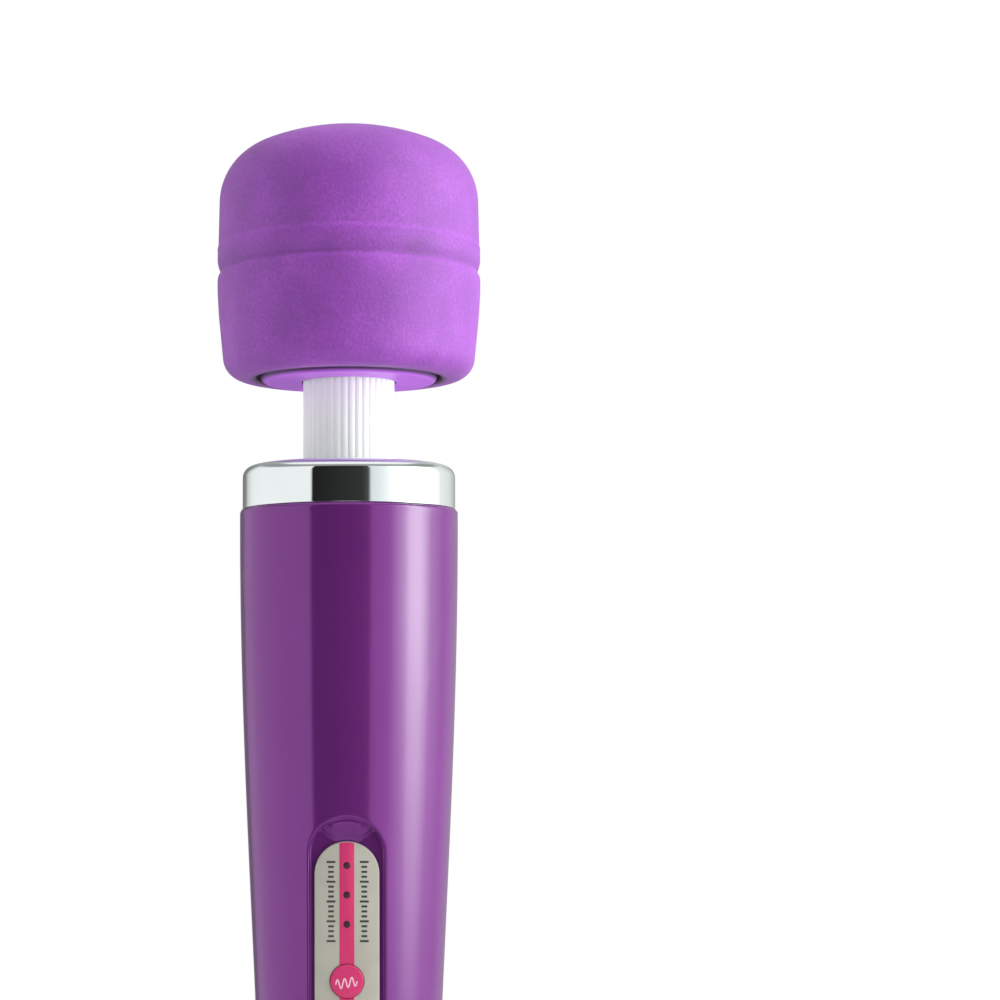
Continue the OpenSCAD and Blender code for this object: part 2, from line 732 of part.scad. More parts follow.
module charging_jack() color("black") difference() {
    translate([0, 0, jack_z]) cylinder(r = jack_r, h = jack_l);
    translate([0, 0, jack_z - 1]) cylinder(r = jack_bore_r, h = jack_l - jack_back + 1);
}

module charging_jack_pin() color("silver")
    translate([0, 0, jack_z + 1.2]) cylinder(r = jack_pin_r, h = jack_l - jack_back - 1.2);

module charging_leads() color("firebrick") for (s = [-1, 1]) wire([
    [s * jack_lead_x, 0, jack_z + jack_l], [s * jack_lead_x, 0, cap_boss_z + lead_r],
    [s * charge_lead_x, lead_end(charge_z, charge_loop), cap_boss_z + cap_boss_h + lead_loop],
    [s * charge_lead_x, lead_end(charge_z, charge_loop), charge_z],
    [s * charge_lead_x, lead_end(charge_z, 0), charge_z],
]);

module battery_leads() color("firebrick") for (s = [-1, 1]) wire([
    [s * supply_lead_x, battery_y, battery_top],
    [s * supply_lead_x, battery_y, battery_top + lead_loop],
    [s * supply_lead_x, lead_end(supply_z, lead_loop), battery_top + lead_loop / 2],
    [s * supply_lead_x, lead_end(supply_z, lead_loop), supply_z],
    [s * supply_lead_x, lead_end(supply_z, 0), supply_z],
]);

// heights at which the leads meet the board, and a lead's place at distance d behind it
charge_z = panel_mid_z - board_l / 2 + lead_joint;
supply_z = panel_mid_z + board_l / 2 - lead_joint;
function lead_end(z, d) = board_back(z) + 0.1 + d;

module motor_leads_lower() color("black") for (s = [-1, 1]) wire([
    [s * motor_lead_x, lead_end(supply_z, 0), supply_z],
    [s * motor_lead_x, lead_end(supply_z, lead_loop), supply_z],
    [s * motor_lead_x, lead_end(supply_z, lead_loop), body_l - lead_bend],
    [s * lead_x, lead_y, seat_z - lead_drop], [s * lead_x, lead_y, seat_z],
]);

// ---- flexible neck --------------------------------------------------------------------

module neck_sleeve() color("whitesmoke") difference() {
    union() {
        translate([0, 0, neck_flange_z]) cylinder(r = flange_r, h = flange_t);
        translate([0, 0, neck_flange_z]) cylinder(r = neck_r, h = retainer_z - neck_flange_z);
        translate([0, 0, head_flange_z]) cylinder(r = flange_r, h = flange_t);
    }
    translate([0, 0, neck_flange_z - 1]) cylinder(r = neck_bore_r, h = retainer_z - neck_flange_z + 2);
    around(flute_count, neck_r + flute_depth / 2)
        translate([0, 0, ring_top - ring_wall])
            cylinder(r = flute_depth * 1.4, h = neck_free + ring_wall, $fn = 16);
}

// Coil of round wire as one swept polyhedron.
module coil(r, wire_r, z0, z1, turns, sides = 6, steps = 18) {
    n = turns * steps;
    rise = (z1 - z0 - 2 * wire_r) / n;
    points = [for (i = [0:n], j = [0:sides - 1])
        let (a = 360 * i / steps, b = 360 * j / sides, q = r + wire_r * cos(b))
            [q * cos(a), q * sin(a), z0 + wire_r + rise * i + wire_r * sin(b)]];
    walls = [for (i = [0:n - 1], j = [0:sides - 1])
        let (k = (j + 1) % sides, a = i * sides + j, b = i * sides + k)
            each [[a, b, b + sides], [a, b + sides, a + sides]]];
    caps = [[for (j = [sides - 1:-1:0]) j], [for (j = [0:sides - 1]) n * sides + j]];
    polyhedron(points, [for (f = concat(walls, caps)) reversed(f)], convexity = 8);
}

module neck_spring() color("silver")
    coil(neck_bore_r - slip - spring_wire / 2, spring_wire / 2, seat_z + 2, retainer_z, spring_coils);

module motor_leads_upper() color("black") for (s = [-1, 1])
    wire([[s * lead_x, lead_y, seat_z + slip], [s * terminal_x, 0, terminal_z - slip]]);

// ---- head -----------------------------------------------------------------------------

// Outside of the soft cover, from the rim up: round corner, tapered side, groove band, dome.
function cover_outline() = let (
        groove_top = head_top - dome_h,
        groove_low = groove_top - groove_w,
        corner_x = head_r - cover_taper - cover_corner_r)
    concat(
        [[0, rim_z]],
        arc(corner_x, rim_z + cover_corner_r, cover_corner_r, -90, -6),
        [[head_r - cover_taper * 0.25, groove_low - 9], [head_r, groove_low - 3]],
        [[head_r - groove_d * 0.1, groove_low - 0.2], [head_r - groove_d, groove_low + 0.9]],
        [[head_r - groove_d * 0.1, groove_low + 2.6], [head_r, groove_top - 0.5]],
        [[head_r - shoulder_taper * 0.5, groove_top]],
        dome(0));

// Outside of the hard shell, moved inwards by d.
function shell_outline(d, z0) = concat(
    [[0, z0], [shell_r - d, z0], [shell_r - d, head_top - dome_h]],
    dome(cover_t + d));

module head_cover() color("mediumorchid") difference() {
    rotate_extrude() polygon(cover_outline());
    rotate_extrude() polygon(shell_outline(-slip / 2, shell_z - slip / 2));
    translate([0, 0, rim_z - 1]) cylinder(r = plug_r + plug_gap, h = lip_h + 2);
}

module head_shell() color("lightgray") difference() {
    rotate_extrude() polygon(shell_outline(0, shell_z));
    difference() {
        rotate_extrude() polygon(shell_outline(shell_t, shell_z - 1));
        snap_bead(0);
    }
}

// Small round bead inside the shell that snaps into the base's groove.
module snap_bead(gap) {
    translate([0, 0, shell_z + base_h / 2]) rotate_extrude()
        translate([shell_in_r, 0]) circle(r = snap_r + gap, $fn = 24);
}

module head_base() color("mediumorchid") difference() {
    union() {
        rotate_extrude() {
            square_z(0, plug_r - 1, plug_z, shell_z + eps);
            square_z(0, plug_r, plug_z + 1, shell_z + eps);
            translate([plug_r - 1, plug_z + 1]) circle(r = 1);
        }
        translate([0, 0, shell_z]) cylinder(r = shell_in_r - slip, h = base_h);
    }
    snap_bead(slip);
    translate([0, 0, plug_z - 1]) cylinder(r = neck_r + neck_gap, h = base_h + 10);
    translate([0, 0, head_flange_z]) cylinder(r = flange_r + neck_gap, h = base_h + 10);
    translate([0, 0, retainer_z]) cylinder(r = retainer_r + slip, h = base_h + 10);
    around(3, retainer_screw_ring, 30) translate([0, 0, retainer_z - 4]) cylinder(r = screw_r, h = 5);
    around(3, cradle_screw_ring, 90) translate([0, 0, base_top - 3.6]) cylinder(r = screw_r, h = 5);
}

module square_z(x0, x1, z0, z1) {
    translate([x0, z0]) square([x1 - x0, z1 - z0]);
}

module neck_retainer() color("dimgray") difference() {
    translate([0, 0, retainer_z]) tube(retainer_r, lead_hole_r, retainer_t);
    around(3, retainer_screw_ring, 30) translate([0, 0, retainer_z - 1])
        cylinder(r = screw_r + screw_slip, h = retainer_t + 2);
}

module neck_retainer_screws() color("silver")
    around(3, retainer_screw_ring, 30) translate([0, 0, retainer_z + retainer_t]) rotate([180, 0, 0])
        screw(screw_r, screw_head_r, screw_head_h - 0.2, retainer_t + screw_bite);

module motor_cradle() color("lightgray") difference() {
    union() {
        translate([0, 0, base_top]) cylinder(r = shell_in_r - 2 * slip, h = cradle_flange_t);
        translate([0, 0, base_top]) cylinder(r = motor_r + slip + cradle_wall, h = motor_top - base_top);
        around(4, plate_post_ring, 45) translate([0, 0, base_top])
            cylinder(r = plate_post_r, h = motor_top - base_top);
    }
    translate([0, 0, base_top - 1]) cylinder(r = motor_r + slip, h = motor_l + 10);
    around(3, cradle_screw_ring, 90) translate([0, 0, base_top - 1])
        cylinder(r = screw_r + screw_slip, h = cradle_flange_t + 2);
    around(4, plate_post_ring, 45) translate([0, 0, motor_top - 6]) cylinder(r = screw_r, h = 7);
    // windows that let the motor cool
    for (a = [0, 90]) rotate(a) translate([-window_w / 2, -body_r, motor_z + window_foot])
        cube([window_w, 2 * body_r, motor_l - 2 * window_foot]);
}

module cradle_screws() color("silver")
    around(3, cradle_screw_ring, 90) translate([0, 0, base_top + cradle_flange_t]) rotate([180, 0, 0])
        screw(screw_r, screw_head_r, screw_head_h, cradle_flange_t + screw_bite);

module motor_can() color("silver") translate([0, 0, motor_z]) difference() {
    union() {
        cylinder(r = motor_r, h = motor_l);
        cylinder(r = can_boss_r, h = motor_l + can_boss_h);
    }
    translate([0, 0, -1]) cylinder(r = motor_r - can_t, h = motor_l - can_t + 1);
    translate([0, 0, motor_l - 5]) cylinder(r = bush_r, h = 10);
    for (s = [-1, 1]) translate([s * motor_screw_ring, 0, motor_l - 5]) cylinder(r = screw_r, h = 10);
}

module motor_magnets() color("dimgray") translate([0, 0, motor_z + magnet_foot]) for (a = [0, 180])
    rotate(a - magnet_angle) rotate_extrude(angle = 2 * magnet_angle)
        translate([motor_r - can_t - magnet_t, 0]) square([magnet_t, motor_l - magnet_foot - magnet_head]);

module motor_end_bell() color("black") translate([0, 0, motor_z]) difference() {
    cylinder(r = motor_r - can_t, h = bell_t);
    translate([0, 0, -1]) cylinder(r = bush_r, h = bell_t + 2);
    for (s = [-1, 1]) translate([s * terminal_x, 0, terminal_l / 4])
        cube([terminal_w, terminal_t, 2 * terminal_l], center = true);
}

module motor_bushes() color("peru") {
    translate([0, 0, motor_z]) tube(bush_r, shaft_r + bearing_gap, bell_t);
    translate([0, 0, motor_top - can_t]) tube(bush_r, shaft_r + bearing_gap, can_t + can_boss_h);
}

module motor_terminals() color("silver") for (s = [-1, 1])
    translate([s * terminal_x, 0, terminal_z + terminal_l / 2])
        cube([terminal_w, terminal_t, terminal_l], center = true);

module motor_plate() color("lightgray") difference() {
    translate([0, 0, motor_top]) cylinder(r = plate_r, h = plate_t);
    translate([0, 0, motor_top - 1]) cylinder(r = can_boss_r + slip, h = plate_t + 2);
    for (s = [-1, 1]) translate([s * motor_screw_ring, 0, motor_top - 1])
        cylinder(r = screw_r + screw_slip, h = plate_t + 2);
    around(4, plate_post_ring, 45) translate([0, 0, motor_top - 1])
        cylinder(r = screw_r + screw_slip, h = plate_t + 2);
}

module motor_screws() color("silver")
    for (s = [-1, 1]) translate([s * motor_screw_ring, 0, motor_top + plate_t]) rotate([180, 0, 0])
        screw(screw_r, screw_head_r, screw_head_h, plate_t + can_t + 0.4);

module plate_screws() color("silver")
    around(4, plate_post_ring, 45) translate([0, 0, motor_top + plate_t]) rotate([180, 0, 0])
        screw(screw_r, screw_head_r, screw_head_h, plate_t + screw_bite);

module motor_shaft() color("silver")
    translate([0, 0, motor_z + 0.3]) cylinder(r = shaft_r, h = shaft_top - motor_z - 0.3);

// Three-pole armature with its windings and the commutator under it.
module motor_armature() color("peru") translate([0, 0, motor_z]) difference() {
    union() {
        intersection() {
            translate([0, 0, stack_foot]) cylinder(r = armature_r, h = stack_l);
            union() {
                translate([0, 0, stack_foot]) cylinder(r = armature_r * 0.82, h = stack_l);
                around(3, 0, 90) translate([0, -armature_r * 0.72, stack_foot])
                    cube([armature_r * 2, armature_r * 1.44, stack_l]);
            }
        }
        translate([0, 0, bell_t + commutator_gap]) cylinder(r = bush_r * 1.2, h = commutator_l);
    }
    cylinder(r = shaft_r, h = motor_l);
}

// Half disc on a hub: it shakes the head as it spins.
module eccentric_weight() color("goldenrod") translate([0, 0, weight_z]) difference() {
    union() {
        cylinder(r = hub_r, h = weight_t);
        intersection() {
            cylinder(r = weight_r, h = weight_t);
            translate([-weight_r, 0, 0]) cube([2 * weight_r, weight_r, weight_t]);
        }
    }
    translate([0, 0, -1]) cylinder(r = shaft_r, h = weight_t + 2);
    translate([0, 0, weight_t / 2]) rotate([90, 0, 0]) cylinder(r = screw_r, h = weight_r);
}

module weight_set_screw() color("black") translate([0, 0, weight_z + weight_t / 2]) rotate([90, 0, 0])
    difference() {
        intersection() {
            cylinder(r = screw_r, h = set_screw_l);
            difference() {
                translate([-5, -5, 0]) cube(10);
                rotate([90, 0, 0]) cylinder(r = shaft_r, h = 10, center = true);
            }
        }
        translate([0, 0, set_screw_l - 1]) cylinder(r = screw_r / 2, h = 2, $fn = 6);
    }

end_cap();
end_cap_screws();
jack_plate();
front_shell();
rear_shell();
shell_screws();
collar_ring();
neck_seat();
neck_clamp();
neck_clamp_screws();
control_panel();
panel_stripe();
indicator_lens_1();
indicator_lens_2();
indicator_lens_3();
mode_button();
mode_switch_plunger();
power_button();
power_switch_plunger();
circuit_board();
board_screws();
tactile_switches();
indicator_leds();
board_components();
battery_cell_lower();
battery_cell_upper();
battery_tray();
tray_screws();
battery_contacts();
charging_jack();
charging_jack_pin();
charging_leads();
battery_leads();
motor_leads_lower();
neck_sleeve();
neck_spring();
motor_leads_upper();
head_cover();
head_shell();
head_base();
neck_retainer();
neck_retainer_screws();
motor_cradle();
cradle_screws();
motor_can();
motor_magnets();
motor_end_bell();
motor_bushes();
motor_terminals();
motor_plate();
motor_screws();
plate_screws();
motor_shaft();
motor_armature();
eccentric_weight();
weight_set_screw();
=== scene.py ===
"""Looks of the wand massager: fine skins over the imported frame, materials, light and camera."""

import json
import math

import bmesh
import bpy
from mathutils import Vector
from mathutils.bvhtree import BVHTree
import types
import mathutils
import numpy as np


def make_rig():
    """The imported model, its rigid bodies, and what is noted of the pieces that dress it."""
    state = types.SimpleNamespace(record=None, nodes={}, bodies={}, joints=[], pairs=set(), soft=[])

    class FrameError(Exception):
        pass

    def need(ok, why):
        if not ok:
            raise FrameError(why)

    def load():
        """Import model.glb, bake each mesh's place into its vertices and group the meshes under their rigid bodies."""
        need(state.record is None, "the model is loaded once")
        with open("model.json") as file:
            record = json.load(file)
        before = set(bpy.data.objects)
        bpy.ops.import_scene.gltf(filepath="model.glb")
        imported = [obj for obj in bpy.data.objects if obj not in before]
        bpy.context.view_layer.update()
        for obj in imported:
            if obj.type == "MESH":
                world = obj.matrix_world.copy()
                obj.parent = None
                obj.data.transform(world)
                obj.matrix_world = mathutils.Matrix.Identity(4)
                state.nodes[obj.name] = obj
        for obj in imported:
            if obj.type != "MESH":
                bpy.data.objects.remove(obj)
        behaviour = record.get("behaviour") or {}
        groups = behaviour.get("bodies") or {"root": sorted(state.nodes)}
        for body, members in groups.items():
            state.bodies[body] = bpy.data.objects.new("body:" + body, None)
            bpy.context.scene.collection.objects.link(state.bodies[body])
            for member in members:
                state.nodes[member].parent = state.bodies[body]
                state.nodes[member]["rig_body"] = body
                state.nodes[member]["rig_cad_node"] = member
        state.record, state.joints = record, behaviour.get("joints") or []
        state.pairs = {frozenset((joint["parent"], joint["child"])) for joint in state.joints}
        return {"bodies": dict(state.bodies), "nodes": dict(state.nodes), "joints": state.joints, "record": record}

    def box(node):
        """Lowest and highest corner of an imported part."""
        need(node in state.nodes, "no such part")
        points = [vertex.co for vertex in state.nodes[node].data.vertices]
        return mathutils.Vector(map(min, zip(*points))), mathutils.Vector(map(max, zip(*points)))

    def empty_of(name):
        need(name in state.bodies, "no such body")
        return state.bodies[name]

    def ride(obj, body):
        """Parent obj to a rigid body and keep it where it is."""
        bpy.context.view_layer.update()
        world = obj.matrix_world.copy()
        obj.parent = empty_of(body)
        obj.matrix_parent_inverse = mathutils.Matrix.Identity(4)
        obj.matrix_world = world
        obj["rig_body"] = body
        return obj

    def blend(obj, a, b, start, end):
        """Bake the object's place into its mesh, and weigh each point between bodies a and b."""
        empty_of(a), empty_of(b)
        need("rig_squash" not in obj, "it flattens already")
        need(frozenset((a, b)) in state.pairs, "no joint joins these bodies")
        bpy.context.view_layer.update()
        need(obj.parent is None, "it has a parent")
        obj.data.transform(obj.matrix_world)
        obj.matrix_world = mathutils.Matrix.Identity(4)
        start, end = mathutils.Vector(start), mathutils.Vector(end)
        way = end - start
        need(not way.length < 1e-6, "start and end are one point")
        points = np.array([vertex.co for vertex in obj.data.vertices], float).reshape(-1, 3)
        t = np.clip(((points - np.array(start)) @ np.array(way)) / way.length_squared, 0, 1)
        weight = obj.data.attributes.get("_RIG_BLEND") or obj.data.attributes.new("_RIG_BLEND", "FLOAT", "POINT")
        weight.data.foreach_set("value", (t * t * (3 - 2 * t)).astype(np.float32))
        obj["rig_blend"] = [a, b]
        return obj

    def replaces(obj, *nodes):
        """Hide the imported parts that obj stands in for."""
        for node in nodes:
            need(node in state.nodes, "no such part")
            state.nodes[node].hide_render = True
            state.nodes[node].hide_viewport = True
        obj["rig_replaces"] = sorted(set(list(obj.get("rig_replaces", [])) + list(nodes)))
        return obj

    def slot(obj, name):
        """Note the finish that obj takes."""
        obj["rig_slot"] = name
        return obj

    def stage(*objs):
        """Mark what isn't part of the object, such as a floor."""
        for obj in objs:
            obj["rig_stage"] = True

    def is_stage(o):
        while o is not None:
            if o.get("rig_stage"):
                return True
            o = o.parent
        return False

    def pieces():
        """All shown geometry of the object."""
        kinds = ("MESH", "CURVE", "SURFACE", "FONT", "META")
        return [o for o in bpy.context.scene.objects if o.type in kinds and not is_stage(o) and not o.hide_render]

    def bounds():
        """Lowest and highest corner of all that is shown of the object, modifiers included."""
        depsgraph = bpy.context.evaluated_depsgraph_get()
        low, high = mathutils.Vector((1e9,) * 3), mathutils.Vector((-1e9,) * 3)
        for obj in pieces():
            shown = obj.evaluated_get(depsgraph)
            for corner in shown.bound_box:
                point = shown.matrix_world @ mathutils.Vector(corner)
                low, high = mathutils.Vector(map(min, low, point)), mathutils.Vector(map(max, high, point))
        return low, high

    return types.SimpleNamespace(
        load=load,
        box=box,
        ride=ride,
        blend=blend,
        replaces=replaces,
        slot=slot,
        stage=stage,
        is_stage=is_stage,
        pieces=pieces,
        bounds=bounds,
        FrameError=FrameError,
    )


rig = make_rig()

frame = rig.load()
cad_lo, cad_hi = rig.bounds()
MM = 0.001

# ---- sizes in millimetres -------------------------------------------------------------------

def edge(node, axis, side=1):
    """Low (0) or high (1) end of a node of the frame along an axis."""
    return round(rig.box(node)[side][axis] / MM, 2)


# from the frame
BODY_R, CAP_H = edge("front_shell", 0), edge("front_shell", 2, 0)
RING_R, RING_TOP, BODY_L = edge("collar_ring", 0), edge("collar_ring", 2), edge("collar_ring", 2, 0)
HEAD_R, HEAD_TOP, RIM_Z = edge("head_cover", 0), edge("head_cover", 2), edge("head_cover", 2, 0)
PLUG_Z = edge("head_base", 2, 0)
PANEL_W, STRIPE_W = 2 * edge("control_panel", 0), 2 * edge("panel_stripe", 0)

# as in the construction
WAIST_DROP, TAPER_L, FOOT_ROUND, SHELL_EDGE = 5.8, 185.0, 2.4, 0.8
RING_ROUND, RING_WALL = 2.6, 1.5
NECK_R, FLUTES, FLUTE_D = 10.35, 40, 0.24
COVER_TAPER, CORNER_R = 1.3, 4.8
SHOULDER_R, SHOULDER_DROP, SHOULDER_TAPER = 14.0, 17.2, 0.42
DOME_H, GROOVE_W, GROOVE_D = 27.5, 6.5, 0.7
PLUG_R, PLUG_GAP = 20.0, 1.1
PANEL_L, PANEL_DROP, PANEL_T = 66.0, 73.0, 1.0
RECESS_W, RECESS_D, SCOOP_L, SCOOP_D = 16.2, 2.4, 5.4, 0.7
BUTTON_R, BUTTON_DROP, BUTTON_PITCH, BUTTON_RISE, BUTTON_GAP = 3.6, 29.9, 20.0, 0.6, 0.15

NECK_MID = (RING_TOP + PLUG_Z) / 2
BEND_LOW, BEND_HIGH = RING_TOP - 1.5, PLUG_Z + 1.0      # where the neck's bend starts and ends
TUCK = 0.9                                 # share of its radius to which a skin's hidden side goes


def handle_r(z):
    """Radius of the handle at height z."""
    return BODY_R - WAIST_DROP * (1 - math.cos(math.pi * (BODY_L - z) / TAPER_L)) / 2


# ---- mesh helpers ---------------------------------------------------------------------------

def make_object(name, points, faces, material, scale=MM):
    """Smooth mesh object from points in millimetres."""
    mesh = bpy.data.meshes.new(name)
    mesh.from_pydata([tuple(c * scale for c in p) for p in points], [], faces)
    bm = bmesh.new()
    bm.from_mesh(mesh)
    bmesh.ops.remove_doubles(bm, verts=bm.verts, dist=1e-6)
    bmesh.ops.recalc_face_normals(bm, faces=bm.faces)
    bm.to_mesh(mesh)
    bm.free()
    mesh.shade_smooth()
    mesh.materials.append(material)
    obj = bpy.data.objects.new(name, mesh)
    bpy.context.collection.objects.link(obj)
    return obj


def grid_faces(rows, columns, closed=True):
    """Quads of a grid whose columns close on themselves."""
    last = columns if closed else columns - 1
    return [(i * columns + j, i * columns + (j + 1) % columns,
             (i + 1) * columns + (j + 1) % columns, (i + 1) * columns + j)
            for i in range(rows - 1) for j in range(last)]


def shifted(faces, base):
    """Faces of a piece whose points start at base."""
    return [tuple(base + k for k in face) for face in faces]


def circle(x, y, r, n):
    """Points round a circle."""
    return [(x + r * math.cos(2 * math.pi * k / n), y + r * math.sin(2 * math.pi * k / n))
            for k in range(n)]


def arc(x, z, r, a0, a1, n=8):
    """Points on an arc of a profile, angles in degrees."""
    return [(x + r * math.cos(math.radians(a0 + (a1 - a0) * i / n)),
             z + r * math.sin(math.radians(a0 + (a1 - a0) * i / n))) for i in range(n + 1)]


def revolve(name, profile, material, segments=192):
    """Turns a closed or open (r, z) profile about Z."""
    turn = circle(0, 0, 1, segments)
    points = [(r * c, r * s, z) for r, z in profile for c, s in turn]
    return make_object(name, points, grid_faces(len(profile), segments), material)


def finer(profile, step):
    """Splits the long runs of a profile, so that shading stays even."""
    out = [profile[0]]
    for (r0, z0), (r1, z1) in zip(profile, profile[1:]):
        n = max(1, math.ceil(math.hypot(r1 - r0, z1 - z0) / step))
        out += [(r0 + (r1 - r0) * k / n, z0 + (z1 - z0) * k / n) for k in range(1, n + 1)]
    return out


def smoothed(profile, rounds):
    """Eases the corners of a profile and keeps its ends."""
    points = [Vector(p) for p in profile]
    for _ in range(rounds):
        points = [points[0]] + [a * 0.25 + b * 0.5 + c * 0.25
                                for a, b, c in zip(points, points[1:], points[2:])] + [points[-1]]
    return [tuple(p) for p in points]


# ---- materials ------------------------------------------------------------------------------

def new_material(name, roughness, metallic=0.0, **sockets):
    """Principled material with its plain numbers on the shader's own sockets."""
    mat = bpy.data.materials.new(name)
    mat.use_nodes = True
    shader = mat.node_tree.nodes["Principled BSDF"]
    shader.inputs["Roughness"].default_value = roughness
    shader.inputs["Metallic"].default_value = metallic
    for key, value in sockets.items():
        shader.inputs[key.replace("_", " ")].default_value = value
    return mat, mat.node_tree, shader


def add(tree, kind, **inputs):
    """Node with plain values on its inputs."""
    node = tree.nodes.new(kind)
    for key, value in inputs.items():
        node.inputs[key.replace("_", " ")].default_value = value
    return node


def texture(tree, kind, scale, stretch=(1, 1, 1), **inputs):
    """Texture in object space, in metres."""
    place = tree.nodes.new("ShaderNodeTexCoord")
    mapping = add(tree, "ShaderNodeMapping", Scale=stretch)
    tree.links.new(place.outputs["Object"], mapping.inputs["Vector"])
    tex = add(tree, kind, Scale=scale, **inputs)
    tree.links.new(mapping.outputs["Vector"], tex.inputs["Vector"])
    return tex


def noise(tree, scale, detail, **more):
    """Level of a noise texture."""
    return texture(tree, "ShaderNodeTexNoise", scale, Detail=detail, **more).outputs["Fac"]


def math_node(tree, operation, *sources):
    """Math node on outputs of other nodes or plain numbers."""
    node = tree.nodes.new("ShaderNodeMath")
    node.operation = operation
    for source, socket in zip(sources, node.inputs):
        if isinstance(source, (int, float)):
            socket.default_value = source
        else:
            tree.links.new(source, socket)
    return node.outputs[0]


def mapped(tree, source, low, high, to_low=0.0, to_high=1.0):
    """Takes one range of a value to another, and stops at its ends."""
    node = add(tree, "ShaderNodeMapRange", From_Min=low, From_Max=high, To_Min=to_low,
               To_Max=to_high)
    tree.links.new(source, node.inputs["Value"])
    return node.outputs["Result"]


def coordinates(tree, kind):
    """Texture coordinate, and its X, Y and Z."""
    place = tree.nodes.new("ShaderNodeTexCoord").outputs[kind]
    split = tree.nodes.new("ShaderNodeSeparateXYZ")
    tree.links.new(place, split.inputs["Vector"])
    return place, split.outputs


def from_axis(tree, place):
    """Distance of a place from the Z axis."""
    flat = tree.nodes.new("ShaderNodeVectorMath")
    flat.operation = "MULTIPLY"
    flat.inputs[1].default_value = (1, 1, 0)
    tree.links.new(place, flat.inputs[0])
    away = tree.nodes.new("ShaderNodeVectorMath")
    away.operation = "LENGTH"
    tree.links.new(flat.outputs["Vector"], away.inputs[0])
    return away.outputs["Value"]


def multiplied(tree, first, second):
    """Product of two colours."""
    node = tree.nodes.new("ShaderNodeMix")
    node.data_type, node.blend_type = "RGBA", "MULTIPLY"
    node.inputs["Factor"].default_value = 1.0
    tree.links.new(first, node.inputs["A"])
    tree.links.new(second, node.inputs["B"])
    return node.outputs["Result"]


def mixed(tree, factor, first, second, out):
    """Leads a mix of two shaders to the output."""
    mix = tree.nodes.new("ShaderNodeMixShader")
    tree.links.new(factor, mix.inputs["Fac"])
    tree.links.new(first.outputs[0], mix.inputs[1])
    tree.links.new(second.outputs[0], mix.inputs[2])
    tree.links.new(mix.outputs[0], out.inputs["Surface"])


def grey(level):
    return (level, level, level)


def ramp(tree, source, stops):
    """Colour ramp from a list of (position, colour) stops."""
    node = tree.nodes.new("ShaderNodeValToRGB")
    tree.links.new(source, node.inputs["Fac"])
    while len(node.color_ramp.elements) < len(stops):
        node.color_ramp.elements.new(0.5)
    for element, (position, colour) in zip(node.color_ramp.elements, stops):
        element.position = position
        element.color = (*colour, 1) if len(colour) == 3 else colour
    return node.outputs["Color"]


def bump(tree, shader, source, distance, strength=1.0, after=None):
    """Relief on the shader's normal, over another one where there is one."""
    node = add(tree, "ShaderNodeBump", Strength=strength, Distance=distance)
    tree.links.new(source, node.inputs["Height"])
    if after:
        tree.links.new(after.outputs["Normal"], node.inputs["Normal"])
    tree.links.new(node.outputs["Normal"], shader.inputs["Normal"])
    return node


def mottled(name, light, dark, roughness, scale=120, metallic=0.0, grain=0.00002, grain_scale=2500,
            rough_spread=0.06, **sockets):
    """Moulded or coated surface: slight change of colour, of gloss and of texture."""
    mat, tree, shader = new_material(name, roughness, metallic, **sockets)
    cloud = ramp(tree, noise(tree, scale, 4.0), [(0.3, dark), (0.7, light)])
    tree.links.new(cloud, shader.inputs["Base Color"])
    wear = mapped(tree, noise(tree, scale * 3, 5.0), 0, 1, roughness - rough_spread,
                  roughness + rough_spread)
    tree.links.new(wear, shader.inputs["Roughness"])
    bump(tree, shader, noise(tree, grain_scale, 3.0), grain)
    return mat


def soft_skin():
    """Velvety moulded cover: pebbled grain, with painted shade in the belt's groove, painted highlights on its two
    lips, and painted shade round the plug.
    """
    mat, tree, shader = new_material("head_soft", 0.46, Sheen_Weight=0.05, Sheen_Roughness=0.45,
                                     Sheen_Tint=(0.95, 0.5, 1.0, 1.0), Specular_IOR_Level=0.04,
                                     Coat_Weight=1.0, Coat_Roughness=0.75, Coat_IOR=1.85)
    cloud = noise(tree, 90, 5.0)
    speck = noise(tree, 1600, 3.0, Roughness=0.65)
    mix = add(tree, "ShaderNodeMix", Factor=0.55)
    tree.links.new(cloud, mix.inputs["A"])
    tree.links.new(speck, mix.inputs["B"])
    skin = ramp(tree, mix.outputs["Result"], [
        (0.34, (0.215, 0.014, 0.355)), (0.5, (0.285, 0.022, 0.455)), (0.66, (0.365, 0.045, 0.560))])
    place, at = coordinates(tree, "Object")
    belt, past = HEAD_TOP - DOME_H, 2
    height = mapped(tree, at["Z"], (belt - GROOVE_W - past) * MM, (belt + past) * MM)
    # painted shade in the belt's groove and painted highlights on its two lips, by height
    shade = ramp(tree, height, [
        (0.0, grey(0.86)), (0.13, grey(0.90)), (0.20, grey(1.0)), (0.26, grey(0.74)),
        (0.38, grey(0.76)), (0.62, grey(0.86)), (0.72, grey(0.88)), (0.79, grey(1.0)),
        (0.87, grey(0.87)), (1.0, grey(0.86))])
    # painted shade in the gap round the base disc: the cover's inner wall, lip and underside next to the plug darker
    lip = PLUG_R + PLUG_GAP
    inner = mapped(tree, from_axis(tree, place), (lip + 0.6) * MM, (lip + 1.5) * MM, 0.25)
    above = mapped(tree, at["Z"], (RIM_Z + 4) * MM, (RIM_Z + 5) * MM)
    gap = math_node(tree, "MAXIMUM", inner, above)
    tree.links.new(multiplied(tree, multiplied(tree, skin, shade), gap),
                   shader.inputs["Base Color"])
    pebble = texture(tree, "ShaderNodeTexVoronoi", 1300, Randomness=1.0)
    first = bump(tree, shader, pebble.outputs["Distance"], 0.00018, 0.5)
    bump(tree, shader, speck, 0.00028, 0.8, after=first)
    return mat


